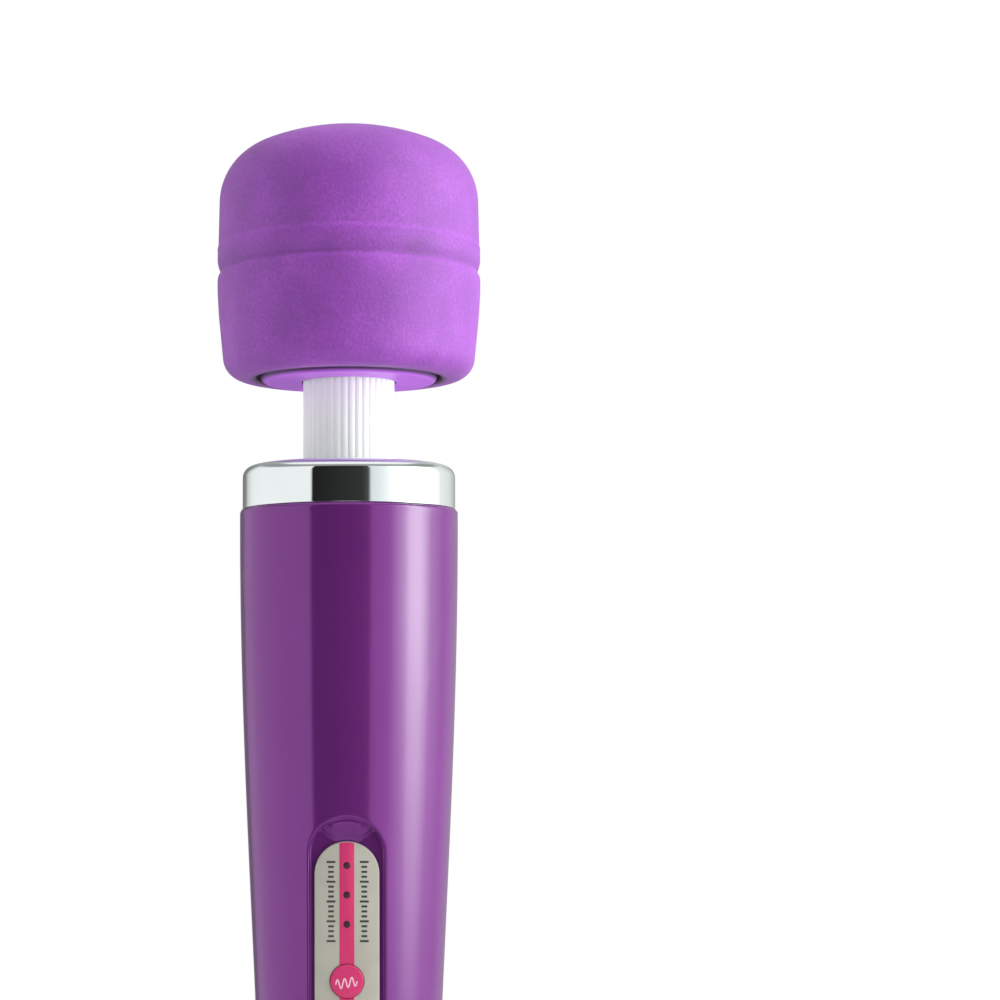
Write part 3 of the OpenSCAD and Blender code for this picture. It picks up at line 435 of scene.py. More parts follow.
def plated():
    """Polished chrome plating over moulded plastic, a little satin and a painted shade on the rounded top edge."""
    mat, tree, shader = new_material("chrome", 0.03, 1.0)
    facing = coordinates(tree, "Normal")[1]
    level, upward = 0.5, 0.8                # the rounded edge, by its normal's Z
    tone = ramp(tree, noise(tree, 60, 3.0), [(0.35, (0.92, 0.98, 0.98)), (0.65, (0.95, 1.0, 1.0))])
    # painted shade: the rounded top edge a little darker and greener, by its normal's Z
    rounded = ramp(tree, facing["Z"], [(level, (1, 1, 1)), (upward, (0.93, 1.0, 0.95))])
    tree.links.new(multiplied(tree, tone, rounded), shader.inputs["Base Color"])
    smear = mapped(tree, noise(tree, 240, 5.0, stretch=(1, 1, 0.2)), 0, 1, 0.01, 0.06)
    satin = mapped(tree, facing["Z"], level, upward, 0, 0.42)
    tree.links.new(math_node(tree, "MAXIMUM", smear, satin), shader.inputs["Roughness"])
    return mat


def plug_skin():
    """Smooth base disc: its purple paler than the cover's, as painted light from below, and painted shade on its
    side-facing wall in the gap round it.
    """
    mat, tree, shader = new_material("base_purple", 0.42)
    # the disc's purple, made paler than the cover's: painted light from below
    face = ramp(tree, noise(tree, 120, 4.0), [
        (0.3, (0.48, 0.115, 0.73)), (0.7, (0.53, 0.135, 0.79))])
    facing = coordinates(tree, "Normal")[1]
    # painted shade: side-facing wall, bevel and neck opening's rim darker, by the normal's Z
    down = ramp(tree, math_node(tree, "ABSOLUTE", facing["Z"]), [
        (0.5, (0.16, 0.10, 0.19)), (0.98, grey(1.0))])
    tree.links.new(multiplied(tree, face, down), shader.inputs["Base Color"])
    bump(tree, shader, noise(tree, 2500, 3.0), 0.00002)
    return mat


PURPLE = mottled("body_plastic", (0.200, 0.033, 0.252), (0.184, 0.029, 0.233), 0.16, scale=35,
                 metallic=0.5, grain=0.000006, grain_scale=700, rough_spread=0.02,
                 Specular_Tint=(0.62, 0.30, 0.72, 1.0), Specular_IOR_Level=0.3,
                 Coat_Weight=0.72, Coat_Roughness=0.07)
SOFT = soft_skin()
CHROME = plated()
BASE = plug_skin()
NECK = mottled("neck_rubber", (0.92, 0.955, 0.925), (0.895, 0.93, 0.90), 0.7, grain=0.00002,
               grain_scale=1500, Specular_IOR_Level=0.1)
SILVER = mottled("panel_silver", (0.415, 0.405, 0.35), (0.39, 0.38, 0.33), 0.5, scale=300,
                 grain=0.00001, grain_scale=4000, Specular_IOR_Level=0.14)
PINK = mottled("button_pink", (0.585, 0.037, 0.148), (0.55, 0.033, 0.137), 0.42, scale=200,
               Specular_IOR_Level=0.3)
DARK = mottled("lens_dark", (0.055, 0.022, 0.030), (0.035, 0.016, 0.022), 0.2, scale=200)
SIGN = mottled("print_pale", (0.86, 0.50, 0.62), (0.80, 0.44, 0.56), 0.5)
PRINT = mottled("print_dark", (0.045, 0.055, 0.05), (0.03, 0.038, 0.035), 0.55)

# ---- handle skins ---------------------------------------------------------------------------

PANEL_TOP = BODY_L - PANEL_DROP
PANEL_MID = PANEL_TOP - PANEL_L / 2
TILT = math.atan((handle_r(PANEL_TOP) - handle_r(PANEL_TOP - PANEL_L)) / PANEL_L)
PANEL_MID_R = handle_r(PANEL_MID)
PANEL_FACE = PANEL_T - RECESS_D
MEDIAL = PANEL_L / 2 + SCOOP_L - RECESS_W / 2      # half-length of the recess's middle line
SCOOP_RIM, SCOOP_RUN = 0.4, SCOOP_L - 1.3  # flat strip at the scoop's rim, length of its rise
SCOOP_NARROW, SCOOP_EASE = 0.66, 0.28      # where the scoop's sides start, and their softness
PER_SIDE, PER_END = 70, 48                 # points along each side and end of the recess
CORNER = 0.3125                            # the corners' share of an end, which lands on a point


def panel_point(x, y, w):
    """Panel frame to handle: x across, y up along the panel, w out of the front."""
    return (x, -PANEL_MID_R - y * math.sin(TILT) - w * math.cos(TILT),
            PANEL_MID + y * math.cos(TILT) - w * math.sin(TILT))


def skin_height(x, y):
    """How far the handle's plain surface lies above the panel's plane."""
    w = 0.0
    for _ in range(6):
        z = PANEL_MID + y * math.cos(TILT) - w * math.sin(TILT)
        out = math.sqrt(handle_r(z) ** 2 - x * x) - PANEL_MID_R
        w = (out - y * math.sin(TILT)) / math.cos(TILT)
    return w


def eased(t):
    """Smooth step from 0 to 1."""
    t = min(1.0, max(0.0, t))
    return t * t * (3 - 2 * t)


def recess_floor(x, y):
    """Floor of the recess: flat, then a scoop that rises towards the round ends."""
    over = abs(y) - MEDIAL
    if over <= 0:
        return -RECESS_D
    radius = math.hypot(x, over)
    from_rim = RECESS_W / 2 - radius
    rise = eased((SCOOP_L - SCOOP_RIM - from_rim) / SCOOP_RUN)
    across = eased((over / radius - SCOOP_NARROW) / SCOOP_EASE)
    return -RECESS_D + (RECESS_D - SCOOP_D) * rise * across


def stadium(s, half, per_side, per_end):
    """Points at distance s from a straight line of half-length half, anticlockwise."""
    right = [(s, -half + 2 * half * k / per_side) for k in range(per_side)]
    top = [(s * math.cos(math.pi * k / per_end), half + s * math.sin(math.pi * k / per_end))
           for k in range(per_end)]
    return right + top + [(-x, -y) for x, y in right + top]


def edge_inset(phi, z):
    """How far the skin is drawn in along its rounded ends and its parting line."""
    seam, cap_drop, seam_drop = 0.3, 0.18, 0.16
    inset = 0.0
    if z > BODY_L - SHELL_EDGE:
        inset += SHELL_EDGE - math.sqrt(max(0, SHELL_EDGE ** 2 - (z - BODY_L + SHELL_EDGE) ** 2))
    if z < CAP_H + seam:
        inset += cap_drop * ((CAP_H + seam - z) / seam) ** 2
    side = (math.radians(90) - abs(phi)) * handle_r(z)
    if side < seam:
        inset += seam_drop * ((seam - side) / seam) ** 2
    return inset


def polar(phi, z):
    """Point of the handle's surface at angle phi from the front."""
    r = handle_r(z) - edge_inset(phi, z)
    return (r * math.sin(phi), -r * math.cos(phi), z)


# last rings of the front skin: distance from its ends and from its sides
BORDER = [(0.9, 0.9), (0.8, 0.6), (0.62, 0.4), (0.42, 0.26), (0.24, 0.16), (0.1, 0.08), (0, 0)]


def front_rings():
    """Rings of 3D points, from the recess's middle line out to the half shell's border."""
    def spread(s):
        return stadium(s, MEDIAL, PER_SIDE, PER_END)

    rings = []
    for s in (0, 1, 2, 3, 3.8, 4.6, 5.4, 6, 6.6, 7.0, 7.3, 7.6):
        rings.append([panel_point(x, y, recess_floor(x, y)) for x, y in spread(s)])
    # fillet at the floor, wall, rounded lip; all shrink where the wall runs out
    full_wall = 1.2
    for s, up, down in ((-0.35, 0.03, None), (-0.14, 0.14, None), (0, 0.42, None),
                        (0, None, 0.42), (0.10, None, 0.17), (0.28, None, 0.04)):
        ring = []
        for (x, y) in spread(RECESS_W / 2 + s):
            floor_w, top = recess_floor(x, y), skin_height(x, y)
            k = min(1.0, max(0.0, (top - floor_w) / full_wall))
            w = floor_w + up * k if up is not None else top - down * k
            ring.append(panel_point(x, y, w))
        rings.append(ring)
    for s in (0.55, 0.9, 1.4, 2.1, 3.0, 4.0):
        outline = []
        for (x, y) in spread(RECESS_W / 2 + s):
            _, py, pz = panel_point(x, y, skin_height(x, y))
            outline.append((math.atan2(x, -py), pz))
        rings.append([polar(phi, z) for phi, z in outline])
    border = rectangle(math.radians(88), CAP_H + BORDER[0][0], BODY_L - BORDER[0][0])
    steps, crowding = 46, 1.25
    for k in range(1, steps + 1):
        f = (k / steps) ** crowding
        rings.append([polar(a[0] + (b[0] - a[0]) * f, a[1] + (b[1] - a[1]) * f)
                      for a, b in zip(outline, border)])
    for end_gap, side_gap in BORDER[1:]:
        wide = math.radians(90) - side_gap / BODY_R
        rings.append([polar(phi, z)
                      for phi, z in rectangle(wide, CAP_H + end_gap, BODY_L - end_gap)])
    rings.append([(x * TUCK, y * TUCK, min(max(z, CAP_H), BODY_L)) for x, y, z in rings[-1]])
    return rings


def rectangle(wide, low, high):
    """Border of the half shell in (angle, height), sampled to match the stadium."""
    out = []
    for side, far in ((1, high), (-1, low)):
        near = PANEL_MID + side * MEDIAL
        out += [(side * wide, PANEL_MID + side * (2 * MEDIAL * k / PER_SIDE - MEDIAL))
                for k in range(PER_SIDE)]
        for t in (k / PER_END for k in range(PER_END)):
            if t < CORNER:
                out.append((side * wide, near + (far - near) * t / CORNER))
            elif t < 1 - CORNER:
                out.append((side * wide * (1 - 2 * (t - CORNER) / (1 - 2 * CORNER)), far))
            else:
                out.append((-side * wide, far + (near - far) * (t - 1 + CORNER) / CORNER))
    return out


def front_skin():
    """Front half shell with its recess for the panel."""
    rings = front_rings()
    count = len(rings[0])
    points = [p for ring in rings for p in ring]
    obj = make_object("front_skin", points, grid_faces(len(rings), count), PURPLE)
    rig.replaces(obj, "front_shell")
    return obj


# screws of the shells: height, and how far in from the handle's surface
SCREW_ROWS = ((38.0, 5.6), (BODY_L - 33.0, 8.65))
SHELL_SCREWS = [(s * (handle_r(z) - inset), z) for z, inset in SCREW_ROWS for s in (-1, 1)]
SCREW_SEAT_Y, SCREW_HOLE_R, SCREW_BORE_R = 6.5, 2.45, 1.4
WELL_R, WELL_FLOOR, WELL_POINTS = 3.4, 1.2, 48


def rear_skin():
    """Rear half shell with its four screw channels."""
    ends, middle = (0, 0.08, 0.16, 0.3, 0.9), 110
    heights = [CAP_H + g for g in ends]
    heights += [CAP_H + 2 + (BODY_L - CAP_H - 4) * k / middle for k in range(middle + 1)]
    heights += [BODY_L - g for g in (0.9, 0.8, 0.62, 0.42, 0.24, 0.1, 0)]
    side = [g / BODY_R for g in (0, 0.08, 0.16, 0.26, 0.4, 0.6, 0.9)]
    angles = [math.radians(-90) + a for a in side]
    angles += [math.radians(-87 + 174 * k / 116) for k in range(117)]
    angles += [math.radians(90) - a for a in reversed(side)]
    points = []
    for z in heights:
        for a in angles:
            x, y, _ = polar(a, z)
            points.append((-x, -y, z))
    columns, n = len(angles), len(points)
    inner = [(x * TUCK, y * TUCK, z) for x, y, z in points]
    faces = grid_faces(len(heights), columns, closed=False)
    faces += [tuple(i + n for i in reversed(f)) for f in faces]
    rim = [i for i in range(columns)]
    rim += [columns * (r + 1) - 1 for r in range(1, len(heights))]
    rim += [columns * (len(heights) - 1) + i for i in reversed(range(columns - 1))]
    rim += [columns * r for r in reversed(range(1, len(heights) - 1))]
    faces += [(a, b, b + n, a + n) for a, b in zip(rim, rim[1:] + rim[:1])]
    obj = make_object("rear_skin", points + inner, faces, PURPLE)
    cut(obj, [[(px, y, pz) for y in (0.5, BODY_R + 3)
               for px, pz in circle(x, z, SCREW_HOLE_R, WELL_POINTS)] for x, z in SHELL_SCREWS])
    own_normals(obj)
    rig.replaces(obj, "rear_shell")
    return obj


def cut(obj, rods):
    """Cuts rods out of a piece, each given by the points of its two ends."""
    points, faces = [], []
    for rod in rods:
        n = len(rod) // 2
        caps = [tuple(reversed(range(n))), tuple(range(n, 2 * n))]
        faces += shifted(grid_faces(2, n) + caps, len(points))
        points += rod
    cutter = make_object("cutter", points, faces, PURPLE)
    mod = obj.modifiers.new("holes", "BOOLEAN")
    mod.operation, mod.object, mod.solver = "DIFFERENCE", cutter, "EXACT"
    apply_modifiers(obj)
    bpy.data.objects.remove(cutter, do_unlink=True)


def apply_modifiers(obj):
    """Leaves the piece as its modifiers make it."""
    graph = bpy.context.evaluated_depsgraph_get()
    mesh = bpy.data.meshes.new_from_object(obj.evaluated_get(graph))
    obj.modifiers.clear()
    old, obj.data = obj.data, mesh
    bpy.data.meshes.remove(old)


def own_normals(obj):
    """Gives the handle's surface its true normals, also beside the cut holes."""
    step, on_surface, alike = 0.05, 0.02, 0.9
    mesh = obj.data
    mesh.shade_smooth()
    normals = [None] * len(mesh.loops)
    for poly in mesh.polygons:
        flat = Vector(poly.normal)
        for li in poly.loop_indices:
            co = mesh.vertices[mesh.loops[li].vertex_index].co / MM
            slope = (handle_r(co.z + step) - handle_r(co.z - step)) / (2 * step)
            true = Vector((co.x, co.y, -slope * math.hypot(co.x, co.y))).normalized()
            near = abs(math.hypot(co.x, co.y) - handle_r(co.z)) < on_surface
            normals[li] = true if near and true.dot(flat) > alike else flat
    mesh.normals_split_custom_set(normals)


def screw_wells():
    """Walls of the four screw channels in the rear shell."""
    points, faces = [], []
    below = SCREW_SEAT_Y - WELL_FLOOR
    rings = [(WELL_R, below), (WELL_R, 0), (SCREW_HOLE_R, 0), (SCREW_HOLE_R, SCREW_SEAT_Y),
             (SCREW_BORE_R, SCREW_SEAT_Y), (SCREW_BORE_R, below), (WELL_R, below)]
    for x, z in SHELL_SCREWS:
        faces += shifted(grid_faces(len(rings), WELL_POINTS), len(points))
        for r, y in rings:
            for px, pz in circle(x, z, r, WELL_POINTS):
                out = math.sqrt(max(0, (handle_r(pz) - 1.0) ** 2 - px * px))
                points.append((px, y or out, pz))
    obj = make_object("screw_wells", points, faces, PURPLE)
    obj.data.shade_flat()
    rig.ride(obj, "handle")
    return obj


def end_cap_skin():
    """Outer skin of the end cap; the cap's floor and channels stay those of the frame."""
    foot_r, proud = handle_r(FOOT_ROUND) - FOOT_ROUND, 0.03
    profile = [(foot_r - 0.6, 0.0)] + arc(foot_r, FOOT_ROUND, FOOT_ROUND, -90, 0, 14)
    profile += [(handle_r(z), z) for z in (4, 5, 6, 7, 8, CAP_H - 0.3)]
    profile += [(handle_r(CAP_H) - 0.04, CAP_H - 0.14), (handle_r(CAP_H) - 0.17, CAP_H)]
    profile += [(handle_r(CAP_H) - 1.5, CAP_H)]
    obj = revolve("end_cap_skin", [(r + proud, z) for r, z in profile], PURPLE)
    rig.ride(obj, "handle")
    return obj


# ---- collar ring, neck and head -------------------------------------------------------------

def collar():
    """Collar ring with a rounded top edge and an opening for the neck."""
    hole, hole_round, foot, foot_r = NECK_R + 0.5, 0.3, BODY_L + 0.02, 0.25
    profile = [(RING_R - RING_WALL, foot), (RING_R - foot_r, foot)]
    profile += arc(RING_R - foot_r, foot + foot_r, foot_r, -90, 0, 4)
    profile += [(RING_R, BODY_L + 1.5), (RING_R, RING_TOP - RING_ROUND - 1)]
    profile += arc(RING_R - RING_ROUND, RING_TOP - RING_ROUND, RING_ROUND, 0, 90, 20)
    profile += [(r, RING_TOP) for r in (20, 18, 15, hole + 0.6)]
    profile += arc(hole + hole_round, RING_TOP - hole_round, hole_round, 90, 180, 5)
    profile += [(hole, RING_TOP - RING_WALL)]
    obj = revolve("collar_skin", profile, CHROME, 256)
    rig.replaces(obj, "collar_ring")
    return obj


def flute_r(angle):
    """Radius of the neck at an angle: rounded ribs with narrow valleys between."""
    phase = abs(math.sin(angle * FLUTES / 2))
    return NECK_R - FLUTE_D * (1 - phase ** 0.7)


def neck_half(name, z0, z1, a, b, start, end):
    """Half of the fluted neck: it bends between two bodies."""
    columns, rows = FLUTES * 12, 60         # twelve points to a flute
    points = []
    for i in range(rows + 1):
        z = z0 + (z1 - z0) * i / rows
        for j in range(columns):
            t = 2 * math.pi * j / columns
            r = flute_r(t)
            points.append((r * math.sin(t), -r * math.cos(t), z))
    obj = make_object(name, points, grid_faces(rows + 1, columns), NECK)
    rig.replaces(obj, "neck_sleeve")
    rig.blend(obj, a, b, start=(0, 0, start * MM), end=(0, 0, end * MM))
    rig.slot(obj, "neck_rubber")
    return obj


def bent_copy(node, name, slot, rings):
    """Two halves of a node inside the neck, which bend as the sleeve does; rings adds points."""
    halves = (("low", True, "handle", "neck", BEND_LOW, NECK_MID),
              ("high", False, "neck", "head", NECK_MID, BEND_HIGH))
    for part, below, a, b, start, end in halves:
        bm = bmesh.new()
        bm.from_mesh(frame["nodes"][node].data)
        cuts = [start + (end - start) * k / rings for k in range(1, rings)] if rings else []
        for z in cuts + [NECK_MID]:
            last = z == NECK_MID
            bmesh.ops.bisect_plane(bm, geom=bm.verts[:] + bm.edges[:] + bm.faces[:],
                                   plane_co=(0, 0, z * MM), plane_no=(0, 0, 1),
                                   clear_outer=last and below, clear_inner=last and not below)
        bmesh.ops.holes_fill(bm, edges=[e for e in bm.edges if e.is_boundary])
        mesh = bpy.data.meshes.new(f"{name}_{part}")
        bm.to_mesh(mesh)
        bm.free()
        mesh.materials.clear()
        mesh.materials.append(INNER[slot])
        obj = bpy.data.objects.new(mesh.name, mesh)
        bpy.context.collection.objects.link(obj)
        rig.replaces(obj, node)
        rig.blend(obj, a, b, start=(0, 0, start * MM), end=(0, 0, end * MM))
        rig.slot(obj, slot)


def cover_profile():
    """Outside of the soft cover from the plug's groove up to the crown."""
    top = HEAD_TOP - DOME_H
    low = top - GROOVE_W
    corner_x = HEAD_R - COVER_TAPER - CORNER_R
    inside, lip_r = PLUG_R + PLUG_GAP, 0.45
    profile = [(inside, RIM_Z + 3.2), (inside, RIM_Z + 0.5)]
    profile += arc(inside + lip_r, RIM_Z + lip_r, lip_r, 180, 270, 5)
    profile += arc(corner_x, RIM_Z + CORNER_R, CORNER_R, -90, -6, 18)
    # inset from the widest radius, and height over the groove's lower lip
    side = [(0.33, -9), (0.06, -4.5), (0, -2.2), (0.02, -0.9), (0.12, -0.25),
            (0.6 * GROOVE_D, 0.3), (GROOVE_D, 0.75), (1.04 * GROOVE_D, 1.0),
            (0.75 * GROOVE_D, 1.5), (0.3 * GROOVE_D, 2.3), (0.04, 3.2), (0, 4.2)]
    side = [(HEAD_R - inset, low + up) for inset, up in side]
    side += [(HEAD_R - 0.06, top - 1.2), (HEAD_R + 0.04, top - 0.5), (HEAD_R - 0.03, top - 0.1),
             (HEAD_R - 0.18, top + 0.3), (HEAD_R - 0.21, top + 0.8), (HEAD_R - 0.25, top + 3)]
    profile += smoothed(finer(side, 0.25), 2)
    corner = HEAD_R - SHOULDER_TAPER - SHOULDER_R
    crown_r = ((corner ** 2 + SHOULDER_DROP ** 2 - SHOULDER_R ** 2)
               / (2 * (SHOULDER_DROP - SHOULDER_R)))
    turn = math.degrees(math.atan2(crown_r - SHOULDER_DROP, corner))
    profile += arc(corner, HEAD_TOP - SHOULDER_DROP, SHOULDER_R, 0, turn, 40)
    profile += arc(0, HEAD_TOP - crown_r, crown_r, turn + 0.8, 90, 36)
    return finer(profile, 0.8)


def head_cover():
    """Soft cover of the head."""
    obj = revolve("head_skin", cover_profile(), SOFT, 320)
    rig.replaces(obj, "head_cover")
    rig.slot(obj, "head_soft")
    return obj


def base_plug():
    """Base disc under the head, with a rounded edge and neck opening."""
    bevel, hole_round = 1.4, 0.3
    profile = [(PLUG_R, RIM_Z + 3.4), (PLUG_R, RIM_Z + 1.0)]
    profile += arc(PLUG_R - bevel, PLUG_Z + bevel, bevel, 0, -90, 10)
    profile += [(r, PLUG_Z) for r in (PLUG_R - bevel - 1, 17, 14, NECK_R + 1.0)]
    profile += arc(NECK_R + 2 * hole_round, PLUG_Z + hole_round, hole_round, -90, -180, 4)
    profile += [(NECK_R + hole_round, PLUG_Z + 3)]
    obj = revolve("base_skin", profile, BASE, 256)
    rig.replaces(obj, "head_base")
    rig.ride(obj, "head")
    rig.slot(obj, "base_purple")
    return obj


# ---- control panel --------------------------------------------------------------------------

def prism(name, outline, levels, material):
    """Stacks offset copies of an outline: levels are (inset, w) from the bottom up."""
    points, count = [], len(outline(0))
    for inset, w in levels:
        points += [panel_point(x, y, w) for x, y in outline(inset)]
    faces = grid_faces(len(levels), count) + [tuple(range(count))]
    faces += shifted([tuple(reversed(range(count)))], len(points) - count)
    obj = make_object(name, points, faces, material)
    mark_sharp(obj)
    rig.ride(obj, "handle")
    return obj


def mark_sharp(obj, angle=38):
    """Keeps hard edges hard and rounds the rest."""
    bm = bmesh.new()
    bm.from_mesh(obj.data)
    for edge in bm.edges:
        if len(edge.link_faces) == 2 and edge.calc_face_angle(0) > math.radians(angle):
            edge.smooth = False
    bm.to_mesh(obj.data)
    bm.free()


BUTTON_Y = [PANEL_L / 2 - BUTTON_DROP - i * BUTTON_PITCH for i in (0, 1)]
BUTTON_EDGE, BUTTON_DOME = 0.36, 0.14      # width of the rounded edge, height of the dome
STRIPE_GAP = 0.14                          # between the stripe's ends and the panel's


def cut_button_holes(obj):
    """Cuts the buttons' holes through a piece of the panel."""
    cut(obj, [[panel_point(px, py, w) for w in (-RECESS_D - 1, PANEL_FACE + 1)
               for px, py in circle(0, y, BUTTON_R + BUTTON_GAP, 64)] for y in BUTTON_Y])
    mark_sharp(obj)


def panel_plate():
    """Plate of the control panel, with a rounded rim."""
    def outline(d):
        return stadium(PANEL_W / 2 - d, PANEL_L / 2 - PANEL_W / 2, 40, 40)
    f = PANEL_FACE
    levels = [(0, -RECESS_D), (0, f - 0.22), (0.03, f - 0.12), (0.10, f - 0.04), (0.22, f)]
    obj = prism("panel_plate", outline, levels, SILVER)
    cut_button_holes(obj)
    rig.replaces(obj, "control_panel")
    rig.slot(obj, "panel_silver")
    return obj


def stripe():
    """Stripe let into the panel, cut through by the two buttons."""
    def outline(d):
        half_w, end_r = STRIPE_W / 2 - d, PANEL_W / 2 - STRIPE_GAP - d
        across = [half_w * (1 - k / 4) for k in range(9)]
        end = [(x, PANEL_L / 2 - PANEL_W / 2 + math.sqrt(end_r ** 2 - x ** 2)) for x in across]
        return end + [(-x, -y) for x, y in end]
    f = PANEL_FACE
    levels = [(0, f - 0.3), (0, f + 0.02), (0.05, f + 0.05)]
    obj = prism("panel_stripe_skin", outline, levels, PINK)
    cut_button_holes(obj)
    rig.replaces(obj, "panel_stripe")
    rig.slot(obj, "button_pink")
    return obj


def turned_button(name, body, y, material):
    """Round key with a domed top and a rounded edge."""
    top, edge_h = PANEL_FACE + BUTTON_RISE, 0.42
    flat_r = BUTTON_R - BUTTON_EDGE
    profile = [(BUTTON_R, PANEL_FACE - 2), (BUTTON_R, top - edge_h)]
    profile += [(flat_r + BUTTON_EDGE * math.cos(a),
                 top - edge_h + (edge_h - BUTTON_DOME) * math.sin(a))
                for a in (math.pi / 12 * k for k in range(1, 6))]
    profile += [(r, top - BUTTON_DOME * (r / flat_r) ** 2)
                for r in (flat_r, 2.6, 2.0, 1.4, 0.8, 0.3, 0.0)]
    n = 72
    points = [panel_point(px, py, w) for r, w in profile for px, py in circle(0, y, r, n)]
    obj = make_object(name, points, grid_faces(len(profile), n), material)
    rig.replaces(obj, body)
    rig.ride(obj, body)
    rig.slot(obj, "button_pink")
    return obj


def ribbon(name, body, paths, width, lift, material, dome=True):
    """Thin printed lines in the panel's frame, a hair above the surface."""
    points, faces = [], []
    for path in paths:
        n = len(path)
        faces += shifted([(i, i + 1, i + 3, i + 2) for i in range(0, 2 * n - 2, 2)], len(points))
        for i, (x, y) in enumerate(path):
            x0, y0 = path[max(0, i - 1)]
            x1, y1 = path[min(n - 1, i + 1)]
            length = math.hypot(x1 - x0, y1 - y0) or 1
            nx, ny = -(y1 - y0) / length, (x1 - x0) / length
            for side in (-1, 1):
                px, py = x + nx * side * width / 2, y + ny * side * width / 2
                w = PANEL_FACE
                if dome:
                    away = math.hypot(px, min(abs(py - b) for b in BUTTON_Y))
                    w += BUTTON_RISE - BUTTON_DOME * (away / (BUTTON_R - BUTTON_EDGE)) ** 2
                points.append(panel_point(px, py, w + lift))
    obj = make_object(name, points, faces, material)
    face_out(obj)
    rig.ride(obj, body)
    return obj


def in_panel(spot):
    """Place across and along the panel of a point of the handle."""
    along, out = spot.z - PANEL_MID, -spot.y - PANEL_MID_R
    return spot.x, along * math.cos(TILT) + out * math.sin(TILT)


def face_out(obj):
    """Turns every face of a printed mark towards the front."""
    bm = bmesh.new()
    bm.from_mesh(obj.data)
    out = Vector(panel_point(0, 0, 1)) - Vector(panel_point(0, 0, 0))
    bmesh.ops.reverse_faces(bm, faces=[f for f in bm.faces if f.normal.dot(out) < 0])
    bm.to_mesh(obj.data)
    bm.free()


def wave_sign(spot):
    """Rising three-peak wave on the mode button."""
    x, y = in_panel(spot)
    length, rise, height, peaks, steps = 4.6, 0.8, 1.0, 3, 60
    path = [(x + length * (t - 0.5), y + rise * (t - 0.5) + height * math.sin(math.tau * peaks * t))
            for t in (k / steps for k in range(steps + 1))]
    return ribbon("wave_sign", "mode_button", [path], width=0.30, lift=0.02, material=SIGN)


def power_sign():
    """Common stand-by sign on the power button: a broken ring and a bar."""
    y, ring_r, gap, steps = BUTTON_Y[1], 1.35, 38, 48
    ring = [(ring_r * math.sin(a), y + ring_r * math.cos(a))
            for a in (math.radians(gap + (360 - 2 * gap) * k / steps) for k in range(steps + 1))]
    bar = [(0.0, y + 0.15 + 1.5 * k / 6) for k in range(7)]
    return ribbon("power_sign", "power_button", [ring, bar], width=0.38, lift=0.02,
                  material=SIGN)


def panel_ticks(name, spot):
    """Plain scale of dashes beside the lenses."""
    x, middle = in_panel(spot)
    dashes, pitch, long, short = 17, 1.06, 0.95, 0.62
    paths = []
    for k in range(dashes):
        y = middle + (dashes // 2 - k) * pitch
        reach = short if k % 4 else long
        paths.append([(x - reach, y), (x, y), (x + reach, y)])
    return ribbon(name, "handle", paths, width=0.46, lift=0.012, material=PRINT, dome=False)


# ---- material of the frame's own pieces -----------------------------------------------------

FINISHES = (                               # slot, light, dark, roughness, metallic
    ("inner_plastic", (0.05, 0.05, 0.055), (0.035, 0.035, 0.04), 0.5, 0),
    ("pale_plastic", (0.75, 0.75, 0.76), (0.68, 0.68, 0.70), 0.48, 0),
    ("screw_steel", (0.60, 0.60, 0.61), (0.48, 0.48, 0.50), 0.3, 1),
    ("contact_steel", (0.72, 0.69, 0.60), (0.6, 0.57, 0.5), 0.28, 1),
    ("spring_steel", (0.56, 0.56, 0.58), (0.45, 0.45, 0.47), 0.25, 1),
    ("motor_steel", (0.62, 0.62, 0.61), (0.52, 0.52, 0.52), 0.33, 1),
    ("circuit_board", (0.02, 0.20, 0.085), (0.015, 0.16, 0.065), 0.35, 0),
    ("battery_wrap", (0.05, 0.20, 0.46), (0.04, 0.16, 0.39), 0.3, 0),
    ("lead_red", (0.50, 0.03, 0.03), (0.42, 0.02, 0.02), 0.4, 0),
    ("lead_black", (0.02, 0.02, 0.02), (0.012, 0.012, 0.012), 0.4, 0),
    ("led_clear", (0.85, 0.87, 0.90), (0.8, 0.82, 0.86), 0.15, 0),
    ("magnet", (0.085, 0.085, 0.09), (0.06, 0.06, 0.065), 0.6, 0),
    ("bronze", (0.50, 0.32, 0.16), (0.42, 0.26, 0.12), 0.4, 1),
    ("winding", (0.60, 0.26, 0.11), (0.48, 0.19, 0.08), 0.35, 1),
    ("weight_brass", (0.70, 0.54, 0.25), (0.6, 0.45, 0.2), 0.3, 1),
)
INNER = {slot: mottled(slot, light, dark, rough, metallic=metal)
         for slot, light, dark, rough, metal in FINISHES}
INNER.update(body_plastic=PURPLE, chrome=CHROME, panel_silver=SILVER, button_pink=PINK,
             lens_dark=DARK, head_soft=SOFT, base_purple=BASE, neck_rubber=NECK)


def dress_frame():
    """Gives every node of the frame the finish of its own slot."""
    for part in frame["record"]["subparts"]:
        for slot in frame["nodes"][part["node"]].material_slots:
            slot.material = INNER[part["material_slot"]]


# ---- image points -------------------------------------------------------------------------------

